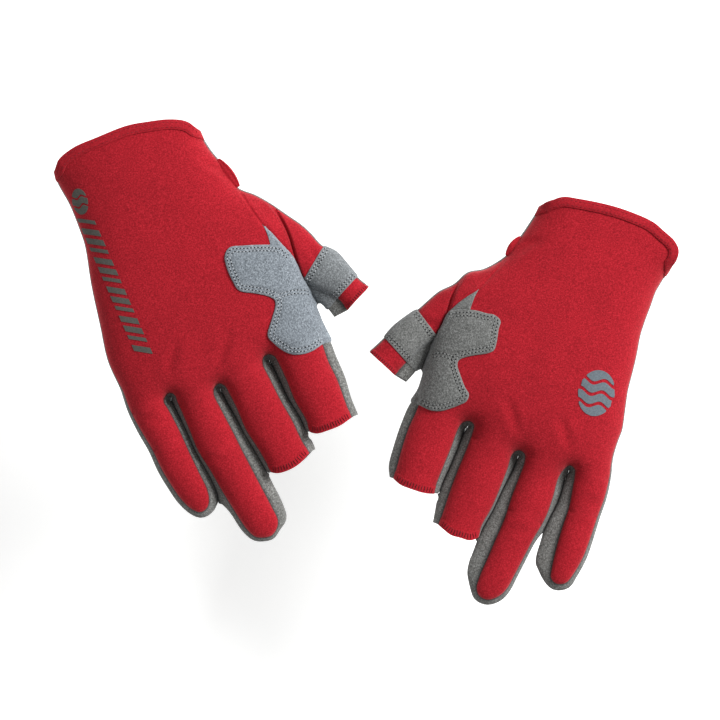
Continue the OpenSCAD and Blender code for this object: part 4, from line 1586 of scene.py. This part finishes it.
def nap(n: Nodes, given: bpy.types.Node, out: bpy.types.Node) -> None:
    """Mottled tone of suede, brushed one way, and the height of its short fibres.

    Args:
        n: The group's nodes.
        given: The group's inputs.
        out: The group's outputs.
    """
    v, scale = given.outputs["Vector"], given.outputs["Scale"]
    lean = n.add("ShaderNodeMapping", {"Vector": v, "Rotation": (0.0, 0.0, 0.7), "Scale": (1.0, 0.45, 1.0)})
    fibre = n.noise(lean.outputs[0], n.math("MULTIPLY", scale, 2.4), Detail=4.0, Roughness=0.65)
    mottle = n.noise(v, scale, Detail=5.0, Roughness=0.6)
    cloud = n.noise(v, n.math("MULTIPLY", scale, 0.12), Detail=2.0)
    n.send(out, Tone=n.blend(fibre, 0.5, mottle, 0.5), Cloud=cloud, Height=n.blend(fibre, 0.7, mottle, 0.5))


def wear(n: Nodes, given: bpy.types.Node, out: bpy.types.Node) -> None:
    """Where a surface has been rubbed: its raised edges, broken up by a noise.

    Args:
        n: The group's nodes.
        given: The group's inputs.
        out: The group's outputs.
    """
    pointy = n.add("ShaderNodeNewGeometry").outputs["Pointiness"]
    edge = n.add("ShaderNodeMapRange", {"Value": pointy, "From Min": 0.5, "From Max": 0.62})
    patchy = n.add("ShaderNodeTexNoise", {"Vector": given.outputs["Vector"], "Scale": 220.0, "Detail": 3.0})
    rubbed = n.math("MULTIPLY", edge.outputs[0], patchy.outputs[0])
    n.tree.links.new(n.math("MULTIPLY", rubbed, given.outputs["Amount"], True), out.inputs["Mask"])


@dataclass(frozen=True)
class Finish:
    """How a cloth, suede, thread or print looks.

    dark, middle and light are the colours of its speckle; grain is the scale of the speckle to the metre.
    """

    name: str
    dark: tuple[float, float, float]
    middle: tuple[float, float, float]
    light: tuple[float, float, float]
    grain: float = 700.0
    knit: bool = True
    roughness: float = 0.92
    sheen: float = 0.2
    sheen_tint: tuple[float, float, float] = (235, 205, 205)
    bump: float = 0.45
    rubbed: float = 0.35
    contrast: float = 1.0

    def material(self) -> bpy.types.Material:
        """Makes the material, unless it is there already.

        Returns:
            The material.
        """
        made = bpy.data.materials.get(self.name)
        if made is not None:
            return made
        made = bpy.data.materials.new(self.name)
        made.use_nodes = True
        made.node_tree.nodes.clear()
        n = Nodes(made.node_tree)
        where = n.add("ShaderNodeTexCoord").outputs["Object"]
        surface = n.add("ShaderNodeGroup", node_tree=group(
            "heather" if self.knit else "nap", {"Scale": 700.0}, ("Tone", "Cloud", "Height"),
            heather if self.knit else nap))
        n.tree.links.new(where, surface.inputs["Vector"])
        surface.inputs["Scale"].default_value = self.grain
        worn = n.add("ShaderNodeGroup", node_tree=group("wear", {"Amount": 0.5}, ("Mask",), wear))
        n.tree.links.new(where, worn.inputs["Vector"])
        worn.inputs["Amount"].default_value = self.rubbed
        half = 0.17 / self.contrast
        speckle = n.ramp(surface.outputs["Tone"], [(0.5 - half, srgb(*self.dark)), (0.5, srgb(*self.middle)),
                                                   (0.5 + half, srgb(*self.light))])
        shade = n.ramp(surface.outputs["Cloud"], [(0.3, (0.93, 0.93, 0.93, 1)), (0.7, (1.04, 1.04, 1.04, 1))])
        colour = n.mix(1.0, speckle, shade, "MULTIPLY")
        colour = n.mix(worn.outputs["Mask"], colour, srgb(*self.light))
        # Painted shade: the colour is darkened towards near black by the mesh's point attribute of painted
        # shade, in the crevices between fingers and along the seams at the walls.
        deep = n.add("ShaderNodeAttribute", attribute_name="recess", attribute_type="GEOMETRY")
        colour = n.mix(n.math("MULTIPLY", deep.outputs["Fac"], 0.85), colour, srgb(18, 18, 20))
        bump = n.add("ShaderNodeBump", {"Height": surface.outputs["Height"], "Strength": self.bump,
                                        "Distance": 0.0005})
        shader = n.add("ShaderNodeBsdfPrincipled", {"Base Color": colour, "Roughness": self.roughness,
                                                    "Normal": bump.outputs[0], "Sheen Weight": self.sheen,
                                                    "Sheen Roughness": 0.45,
                                                    "Sheen Tint": srgb(*self.sheen_tint),
                                                    "Specular IOR Level": 0.15})
        n.add("ShaderNodeOutputMaterial", {"Surface": shader.outputs[0]})
        return made

    def dress(self, piece: bpy.types.Object) -> bpy.types.Object:
        """Puts the material on a piece.

        Args:
            piece: The piece.

        Returns:
            The same piece.
        """
        piece.data.materials.clear()
        piece.data.materials.append(self.material())
        return piece


@dataclass(frozen=True)
class Wardrobe:
    """The finishes of one glove."""

    cloth: Finish
    trim: Finish
    palm: Finish
    overlay: Finish
    band: Finish
    red_thread: Finish
    grey_thread: Finish
    needle_hole: Finish
    elastic: Finish
    lock_thread: Finish
    printed: Finish


def wardrobe(side: str) -> Wardrobe:
    """The finishes of the right-hand or the left-hand glove. The suede and grey thread come as a lighter,
    bluer copy on the right glove and a darker one on the left: painted light and shade for how the light
    falls on each.

    Args:
        side: "right" or "left".

    Returns:
        The finishes.
    """
    # The right glove gets the lighter, bluer copies of the suede and the grey thread as painted light, and
    # the left glove gets the darker copies as painted shade.
    light = side == "right"
    suede = dict(grain=1100.0, knit=False, contrast=1.5, sheen=0.16, sheen_tint=(225, 232, 240), bump=0.7,
                 rubbed=0.8)
    return Wardrobe(
        cloth=Finish(f"{side}_fleece", (120, 14, 25), (158, 22, 34), (190, 40, 53), 1350.0, sheen=0.35,
                     contrast=1.25, sheen_tint=(255, 150, 150)),
        trim=Finish(f"{side}_trim", (112, 13, 23), (158, 23, 35), (190, 42, 54), 1500.0, bump=0.6,
                    sheen_tint=(255, 150, 150)),
        palm=Finish(f"{side}_palm_suede", (72, 72, 69), (110, 110, 107), (150, 151, 149), 1100.0, False,
                    contrast=1.4, sheen=0.12, sheen_tint=(225, 225, 230), bump=0.5),
        # Painted light and shade: the overlay, band and grey thread are lighter and bluer on the right glove
        # and darker on the left.
        overlay=Finish(f"{side}_overlay_suede",
                       (86, 91, 96) if light else (78, 79, 77),
                       (119, 126, 133) if light else (108, 109, 107),
                       (156, 164, 171) if light else (144, 145, 144), **suede),
        band=Finish(f"{side}_band_suede", (80, 83, 84) if light else (78, 79, 77),
                    (110, 114, 116) if light else (108, 109, 107),
                    (147, 151, 154) if light else (144, 145, 144), **suede),
        red_thread=Finish("red_thread", (96, 10, 20), (128, 16, 28), (160, 34, 46), 1500.0, bump=0.3),
        grey_thread=Finish(f"{side}_grey_thread", (130, 134, 138) if light else (108, 109, 108),
                           (168, 173, 177) if light else (138, 140, 139),
                           (198, 203, 207) if light else (164, 166, 165), 1500.0, bump=0.3),
        # Near black: painted shade for the needle holes.
        needle_hole=Finish("needle_hole", (22, 23, 26), (30, 31, 34), (40, 41, 45), 900.0,
                           sheen=0.0, bump=0.1),
        elastic=Finish("ribbed_elastic", (70, 72, 76), (92, 95, 99), (118, 121, 125), 900.0, bump=0.8),
        lock_thread=Finish("lock_thread", (60, 6, 12), (84, 9, 17), (104, 14, 24), 1500.0, bump=0.3),
        printed=Finish(f"{side}_print", (74, 73, 68) if light else (84, 92, 98),
                       (86, 85, 80) if light else (98, 107, 114),
                       (98, 97, 92) if light else (112, 122, 130), 1100.0, roughness=0.7,
                       sheen=0.0, bump=0.25, rubbed=0.1),
    )


# --------------------------------------------------------------------------- one glove


@dataclass
class Glove:
    """One glove: its cloth, overlays, hems, stitching and small parts."""

    plan: Plan
    patch_thickness: float = 1.25
    band_thickness: float = 0.75
    hem_thickness: float = 0.4
    pieces: list[bpy.types.Object] = field(default_factory=list)

    def __post_init__(self) -> None:
        """Works out the glove's form before any piece is cut."""
        self.side = self.plan.side
        self.hinges = hinges_of(self.side)
        self.flat = PlanMesh(self.plan, self.hinges)
        self.flat.build()
        self.form = GloveForm(self.flat)
        self.form.build()
        self.finish = wardrobe(self.side)
        LOG.info("%s form: %d plan points, %d facets", self.side, len(self.flat.points), len(self.form.faces))

    def build(self) -> None:
        """Makes and dresses every piece of the glove."""
        self.cloth()
        self.patch()
        self.gusset()
        self.band()
        self.hems()
        self.cuff()
        self.sewing()
        self.mark()
        self.wrist_tab()
        self.wrist_elastic()

    def settle(self, piece: bpy.types.Object, body: str, finish: Finish,
               nodes: Sequence[str] = ()) -> bpy.types.Object:
        """Dresses a piece, joins it to the hand's body unless its own body has a hinge, in which case it
        bakes its place into the mesh, and hides the nodes that it stands for.

        Args:
            piece: The piece.
            body: The short name of its body.
            finish: What it is made of.
            nodes: Short names of the nodes that it stands for.

        Returns:
            The piece.
        """
        if not piece.data.materials:
            finish.dress(piece)
        hinge = self.hinges.get(body)
        if hinge is None:
            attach(piece, f"{self.side}_hand")
        else:
            hinge.point(hinge.start)
            hinge.point(hinge.end)
            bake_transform(piece)
        if nodes:
            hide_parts(*(f"{self.side}_{n}" for n in nodes))
        self.pieces.append(piece)
        LOG.info("%s: %d faces on %s", piece.name, len(piece.data.polygons), body)
        return piece

    def named(self, name: str) -> str:
        """A piece's full name."""
        return f"{self.side}_{name}"

    def cloth(self) -> None:
        """The plain cloth: the hand, the stalls with their backs, walls and undersides, and the thumb."""
        back, low = [Part.BACK], [Part.WALL, Part.UNDER]
        rows = [("back_cloth", back, "hand", "back_panel", None, {"base"}),
                ("thumb_base_cloth", back, "hand", "thumb_base", {"base"}, None),
                ("palm_suede", low, "hand", "palm_panel", None, None)]
        for name in ("index", "middle", "ring", "little"):
            rows += [(f"{name}_back_cloth", back, name, f"{name}_back", None, None),
                     (f"{name}_walls", [Part.WALL], name, f"{name}_sides", None, None),
                     (f"{name}_underside", [Part.UNDER], name, f"{name}_palm", None, None)]
        for name in ("ring_tip", "little_tip"):
            rows += [(f"{name}_cloth", back, name, f"{name}_back", None, None),
                     (f"{name}_underside", low, name, f"{name}_palm", None, None)]
        rows += [("thumb_back_cloth", back, "thumb", "thumb_back", None, None),
                 ("thumb_underside", low, "thumb", "thumb_palm", None, None)]
        for name, parts, body, node, zones, without in rows:
            red = parts is back
            self.settle(self.form.cloth_piece(self.named(name), parts, body, zones, without), body,
                        self.finish.cloth if red else self.finish.palm,
                        [node])

    def patch(self) -> None:
        """The two-lobed patch over the knuckle, which wraps over the index side."""
        form, line = self.form, self.flat.lines["patch"]
        inner = -1.0 if self.side == "right" else 1.0
        keep = (self.flat.lines["seam"],)
        self.patch_rows = [offset_row(line, inner * d, keep) for d in (1.5, 3.2)]
        waist = smooth_line(np.array(self.plan.waist, float), 0.8)
        self.patch_rows += [waist + line_normals(waist) * d for d in (-0.85, 0.85)]
        faces = form.pick(lambda p, z, b, r: z == "patch" and (p is Part.BACK or (p is Part.WALL and r < 5)))
        sheet = form.overlay(faces, self.patch_thickness, 0.5, [(r, 0.28, 0.45) for r in self.patch_rows])
        self.patch_drape = Drape(sheet.upper, faces)
        chosen = set(faces)
        for body in ("hand", "index"):
            some = [f for f, b in zip(form.faces, form.body) if b == body and f in chosen]
            if some:
                name = "knuckle_overlay" if body == "hand" else "knuckle_overlay_end"
                self.settle(sheet.piece(self.named(name), some), body, self.finish.overlay,
                            ["knuckle_patch"] if body == "hand" else [])

    def gusset(self) -> None:
        """The pointed gusset between the patch, the back and the thumb."""
        faces = self.form.pick(lambda p, z, b, r: z == "gusset" and p is Part.BACK)
        sheet = self.form.overlay(faces, 0.7)
        self.settle(sheet.piece(self.named("gusset_overlay"), faces), "hand", self.finish.overlay,
                    ["thumb_gusset"])

    def band(self) -> None:
        """The band round the thumb, over its back and its walls."""
        inner, outer = self.flat.lines["inner_band"], self.flat.lines["outer_band"]
        to_outer = 1.0 if (outer.mean(0) - inner.mean(0)) @ line_normals(inner).mean(0) > 0 else -1.0
        to_inner = 1.0 if (inner.mean(0) - outer.mean(0)) @ line_normals(outer).mean(0) > 0 else -1.0
        self.band_rows = [inner + line_normals(inner) * to_outer * d for d in (1.4, 3.0)]
        self.band_rows += [outer + line_normals(outer) * to_inner * d for d in (1.3, 2.9)]
        faces = self.form.pick(lambda p, z, b, r: z == "band" and b == "thumb" and p is not Part.UNDER)
        sheet = self.form.overlay(faces, self.band_thickness, 0.1, [(r, 0.25, 0.4) for r in self.band_rows])
        self.band_drape = Drape(sheet.upper, faces)
        self.settle(sheet.piece(self.named("thumb_band_overlay"), faces), "thumb", self.finish.band,
                    ["thumb_band"])

    def _lip(self, name: str, reach: float) -> Callable[[np.ndarray], np.ndarray]:
        """Pushes the border that lies on an open end a little past it.

        Args:
            name: The end's name.
            reach: How far past.

        Returns:
            A function from points to their extra movement.
        """
        chain = self.flat.open_chain(name)
        line, ahead = self.flat.ring[chain], self.flat.even_outward[chain[1:-1]].mean(0)
        flat = self.flat
        depth = flat.hem if name.endswith("hem") else flat.thumb_hem if name == "thumb_end" else flat.cuff

        def push(p: np.ndarray) -> np.ndarray:
            """Moves the points near the end.

            Args:
                p: The points.

            Returns:
                Their movements.
            """
            past = (p[:, :2] - line.mean(0)) @ unit(ahead)
            near = line_distance(p, line) < depth * 0.6
            return np.column_stack([np.outer(np.where(near & (past > -depth), reach, 0), unit(ahead)),
                                    np.zeros(len(p))])
        return push

    def hems(self) -> None:
        """The turned and overlocked hems at the open ends of the stalls."""
        self.hem_drapes = {}
        for name, zone, chain in (("index", "index_hem", "index_hem"), ("middle", "middle_hem", "middle_hem"),
                                  ("thumb", "thumb_hem", "thumb_end")):
            faces = self.form.pick(lambda p, z, b, r: z == zone and p is Part.BACK)
            rows = [self._open_row(chain, d) for d in (0.9, 3.2 if name != "thumb" else 2.3)]
            sheet = self.form.overlay(faces, self.hem_thickness, 0.0, [(r, 0.1, 0.45) for r in rows], 0.9,
                                      self._lip(chain, 0.1))
            self.hem_drapes[name] = Drape(sheet.upper, faces)
            self.settle(sheet.piece(self.named(f"{name}_hem_fold"), faces), name, self.finish.trim,
                        [f"{name}_hem"] if name != "thumb" else [])

    def _open_row(self, chain: str, depth: float) -> np.ndarray:
        """A row parallel to an open end."""
        index = self.flat.open_chain(chain)
        return smooth_line(self.flat.ring[index] - self.flat.even_outward[index] * depth, 0.8)

    def cuff(self) -> None:
        """The binding over the back half of the opening."""
        faces = self.form.pick(lambda p, z, b, r: z == "cuff" and p is Part.BACK)
        rows = [self._open_row("rim", d) for d in (1.3, 3.9)]
        sheet = self.form.overlay(faces, 1.15, 0.3, [(r, 0.4, 0.5) for r in rows], 1.1, self._lip("rim", 0.3))
        self.cuff_drape = Drape(sheet.upper, faces)
        self.cuff_rows = rows
        self.settle(sheet.piece(self.named("cuff_binding_fold"), faces), "hand", self.finish.trim,
                    ["cuff_binding"])

    def _sew(self, name: str, body: str, rows: Sequence[np.ndarray], drape: Drape, thread: Finish,
             stitch: Stitching, slant: float = 0.0) -> None:
        """Sews rows and settles them as one piece on the given body.

        Args:
            name: The piece's name.
            body: The body that it rides on.
            rows: The rows in the plan.
            drape: The surface under them.
            thread: The thread's finish.
            stitch: The stitches' sizes.
            slant: How far they lean.
        """
        made = stitch.run(drape, rows, slant)
        if made is None:
            return
        co, faces, kind = made
        piece = new_mesh(self.named(name), co, faces)
        thread.dress(piece)
        # The dark bars take the near-black finish that is painted as needle-hole shade.
        piece.data.materials.append(self.finish.needle_hole.material())
        piece.data.polygons.foreach_set("material_index", kind.tolist())
        self.settle(piece, body, thread)

    def _split(self, rows: Sequence[np.ndarray], hinge: Hinge, along: float) -> tuple[list, list]:
        """Divides rows at a line across a stall.

        Args:
            rows: The rows.
            hinge: The stall's hinge.
            along: Where the line crosses the stall.

        Returns:
            The rows before the line and those after it.
        """
        before, after = [], []
        for row in rows:
            past = (row[:, :2] - hinge.place[:2]) @ hinge.ahead > along
            cuts = np.flatnonzero(np.diff(past.astype(int))) + 1
            for block, flag in zip(np.split(row, cuts), np.split(past, cuts)):
                if len(block) > 2:
                    (after if flag[0] else before).append(block)
        return before, after

    def sewing(self) -> None:
        """Every row of stitches."""
        f = self.finish
        index = self.hinges["index"]
        before, after = self._split(self.patch_rows, index, index.cut)
        self._sew("knuckle_stitches", "hand", before, self.patch_drape, f.grey_thread, DOUBLE_ROW)
        self._sew("knuckle_stitches_end", "index", after, self.patch_drape, f.grey_thread, DOUBLE_ROW)
        self._sew("band_stitches", "thumb", self.band_rows, self.band_drape, f.grey_thread, DOUBLE_ROW)
        for name, chain, deep, stitch in (("index", "index_hem", 2.1, OVERLOCK),
                                          ("middle", "middle_hem", 2.1, OVERLOCK),
                                          ("thumb", "thumb_end", 1.3, THUMB_OVERLOCK)):
            self._sew(f"{name}_overlock", name, [self._open_row(chain, deep)], self.hem_drapes[name],
                      f.lock_thread, stitch, OVERLOCK_SLANT)
        self._sew("cuff_stitches", "hand", self.cuff_rows, self.cuff_drape, f.red_thread, CUFF_ROW)
        welt = self.flat.lines["welt"]
        rows = [welt[2:-1] + line_normals(welt)[2:-1] * d for d in (-1.3, 1.3)]
        self._sew("thumb_seam_stitches", "hand", rows, self.form.drape, f.red_thread, SEAM_ROW)

    def mark(self) -> None:
        """The generic printed mark: a disc with waves cut out of it, and on one glove a row of dashes."""
        cx, cy, rx, ry = self.plan.badge
        along = unit(np.array(self.plan.runs[0].points[3]) - np.array(self.plan.runs[0].points[-2]))
        across = np.array([along[1], -along[0]])
        rows = 3 if rx > 8 else 2
        half_gap, wave_height, raised, sunk = 0.075, 0.10, 0.28, 0.1
        cos, faces, base = [], [], 0

        def lay(grid: np.ndarray) -> None:
            """Lays a thin raised film on the cloth.

            Args:
                grid: Its points in the plan, in rows.
            """
            nonlocal base
            h, w = grid.shape[:2]
            hits = [self.form.drape.at(float(x), float(y)) for x, y in grid.reshape(-1, 2)]
            if any(x is None for x in hits):
                return
            p, nrm = np.array([x[0] for x in hits]), np.array([x[1] for x in hits])
            top = grid_faces(h, w)
            a, b, c = p[top[0][0]], p[top[0][1]], p[top[0][2]]
            if np.cross(b - a, c - a)[2] < 0:
                top = [q[::-1] for q in top]
            n = h * w
            edges = {(q[i], q[(i + 1) % 4]) for q in top for i in range(4)}
            side = [[b2, a2, a2 + n, b2 + n] for a2, b2 in sorted(edges) if (b2, a2) not in edges]
            block = top + [[v + n for v in reversed(q)] for q in top] + side
            faces.extend([[v + base for v in q] for q in block])
            cos.append(np.vstack([p + nrm * raised, p - nrm * sunk]))
            base += 2 * n

        def place(u: np.ndarray, v: np.ndarray) -> np.ndarray:
            """Plan points of a place on the disc, across and along the hand."""
            return np.array([cx, cy]) + u[..., None] * across * rx + v[..., None] * along * ry

        count = 23
        for band in range(rows + 1):
            lo, hi = -1 + 2 * band / (rows + 1), -1 + 2 * (band + 1) / (rows + 1)
            u = np.linspace(-1, 1, count)
            limit = np.sqrt(np.maximum(1 - (u * 0.995) ** 2, 0))
            wave = wave_height * np.sin(u * 5.2)
            low = np.clip(lo + (half_gap if band > 0 else -1) + wave * (band > 0), -limit, limit)
            high = np.clip(hi - (half_gap if band < rows else -1) + wave * (band < rows), -limit, limit)
            good = high - low > 0.02
            if good.sum() < 3:
                continue
            s = np.linspace(0, 1, 7)[:, None]
            lay(place(np.broadcast_to(u[good], (7, int(good.sum()))), low[good] * (1 - s) + high[good] * s))
        if self.plan.dashes:
            a, b = (np.array(x, float) for x in self.plan.dashes)
            axis = unit(b - a)
            side = np.array([-axis[1], axis[0]])
            length, number, tall, lean = float(np.linalg.norm(b - a)), 14, 8.4, 5.4
            pitch = length / number
            for k in range(number):
                wide = pitch * (0.62 if k % 3 else 0.4)
                s, t = np.linspace(0, wide, 4), np.linspace(-tall / 2, tall / 2, 7)
                grid = (a + axis * (pitch * k)) + (s[None, :, None] * axis) + t[:, None, None] * side \
                    + (t[:, None, None] / tall * lean) * axis
                lay(grid)
        piece = new_mesh(self.named("printed_motif"), np.vstack(cos), faces)
        for p in piece.data.polygons:
            p.use_smooth = False
        self.settle(piece, "hand", self.finish.printed, ["printed_mark"])

    def wrist_tab(self) -> None:
        """The small folded tab at the wrist, on the thumb side."""
        half_width, half_height, level, fold_depth = 3.1, 3.4, 13.0, 0.18
        line = smooth_line(np.array(self.plan.tab, float), 1.0)
        middle = line[len(line) // 2]
        ahead = unit(line[-1] - line[0])
        length = float(np.linalg.norm(line[-1] - line[0]))
        bpy.ops.object.select_all(action="DESELECT")
        bpy.ops.mesh.primitive_cube_add(size=2)
        piece = bpy.context.active_object
        piece.name = self.named("folded_tab")
        bpy.ops.object.mode_set(mode="EDIT")
        bpy.ops.mesh.subdivide(number_cuts=5)
        bpy.ops.object.mode_set(mode="OBJECT")
        side = np.array([-ahead[1], ahead[0]])
        for v in piece.data.vertices:
            x, y, z = v.co
            r = (1 - 0.55 * x * x) * (1 - 0.2 * z * z)
            fold = fold_depth * math.cos(6 * y) * (1 if z > 0 else 0)
            p = middle + ahead * x * length * 0.5 + side * y * half_width * r
            v.co = (p[0] * METRE, p[1] * METRE, (level + z * half_height * r + fold) * METRE)
        smoothing = piece.modifiers.new("round", "SUBSURF")
        smoothing.levels = smoothing.render_levels = 2
        bpy.ops.object.modifier_apply(modifier=smoothing.name)
        bpy.ops.object.shade_smooth()
        self.settle(piece, "hand", self.finish.trim, ["wrist_tab"])

    def wrist_elastic(self) -> None:
        """The ribbed elastic sewn across the inside of the palm at the wrist."""
        low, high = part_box(f"{self.side}_wrist_elastic")
        end_a = np.array(self.plan.runs[0].points[3], float)
        end_b = np.array(self.plan.runs[-2].points[1], float)
        along = unit(end_b - end_a)
        side = np.array([-along[1], along[0]])
        span = float(np.linalg.norm(end_b - end_a))
        z0 = max(1.75, min(low.z, high.z) / METRE)
        width, ribs, cols, inset, thickness = 8.0, 8, 90, 4.0, 1.0
        s, t = np.linspace(inset, span - inset, cols), np.linspace(-width / 2, width / 2, ribs * 4 + 1)
        ss, tt = np.meshgrid(s, t)
        xy = end_a + ss[..., None] * along + tt[..., None] * side
        ripple = 0.16 * np.cos(tt / width * ribs * 2 * math.pi) + 0.22 * np.sin(ss * 1.9)
        top = np.dstack([xy, z0 + thickness + ripple]).reshape(-1, 3)
        base = np.dstack([xy, np.full_like(ss, z0)]).reshape(-1, 3)
        h, w = ss.shape
        faces = grid_faces(h, w)
        if np.cross(top[faces[0][1]] - top[faces[0][0]], top[faces[0][2]] - top[faces[0][0]])[2] < 0:
            faces = [f[::-1] for f in faces]
        normal = vertex_normals(top, faces)
        flat = vertex_normals(base, faces)
        piece = Shell(top, base, normal, flat).piece(self.named("ribbed_elastic"), faces)
        self.settle(piece, "hand", self.finish.elastic, ["wrist_elastic"])


# --------------------------------------------------------------------------- the scene around them


@dataclass
class Studio:
    """A pale floor, soft lights and the camera straight above."""

    camera_height: float = 1.612
    view_width: float = 0.3816
    plane: float = 0.012
    floor_height: float = -0.13

    def camera(self) -> None:
        """Looks straight down on the pair."""
        data = bpy.data.cameras.new("camera")
        data.sensor_width = 36.0
        data.lens = 36.0 * (self.camera_height - self.plane) / self.view_width
        cam = bpy.data.objects.new("camera", data)
        cam.location = (-0.0029, 0.0029, self.camera_height)
        bpy.context.scene.collection.objects.link(cam)
        bpy.context.scene.camera = cam

    def floor(self) -> None:
        """A wide pale floor below the gloves, so that a bent finger clears it."""
        bpy.ops.object.select_all(action="DESELECT")
        bpy.ops.mesh.primitive_plane_add(size=8.0, location=(0, 0, self.floor_height))
        plane = bpy.context.active_object
        plane.name = "floor"
        made = bpy.data.materials.new("pale_floor")
        made.use_nodes = True
        shader = made.node_tree.nodes["Principled BSDF"]
        shader.inputs["Base Color"].default_value = (0.93, 0.93, 0.925, 1)
        shader.inputs["Roughness"].default_value = 0.9
        shader.inputs["Emission Color"].default_value = (1.0, 1.0, 0.995, 1)
        shader.inputs["Emission Strength"].default_value = 0.5
        plane.data.materials.append(made)

    def light(self, name: str, place: tuple[float, float, float], size: float, power: float) -> None:
        """Adds a soft area light that faces the pair.

        Args:
            name: Its name.
            place: Where it hangs.
            size: How wide it is.
            power: How strong it is.
        """
        data = bpy.data.lights.new(name, "AREA")
        data.shape, data.size, data.energy = "DISK", size, power
        lamp = bpy.data.objects.new(name, data)
        lamp.location = place
        lamp.rotation_mode = "QUATERNION"
        lamp.rotation_quaternion = (Vector((0, 0, 0)) - Vector(place)).to_track_quat("-Z", "Y")
        bpy.context.scene.collection.objects.link(lamp)

    def build(self) -> None:
        """Sets up everything around the gloves."""
        self.camera()
        self.floor()
        self.light("key", (1.3, 0.75, 1.15), 0.8, 50)
        self.light("fill", (-1.1, 0.6, 1.5), 1.4, 4)
        world = bpy.data.worlds.new("studio")
        world.use_nodes = True
        world.node_tree.nodes["Background"].inputs["Color"].default_value = (1.0, 1.0, 1.0, 1)
        world.node_tree.nodes["Background"].inputs["Strength"].default_value = 0.36
        bpy.context.scene.world = world
        bpy.context.scene.view_settings.view_transform = "Standard"


def main() -> None:
    """Builds the studio and both gloves."""
    logging.basicConfig(level=logging.INFO, format="%(message)s")
    Studio().build()
    for plan in (RIGHT, LEFT):
        Glove(plan).build()


if __name__ == "__main__":
    main()
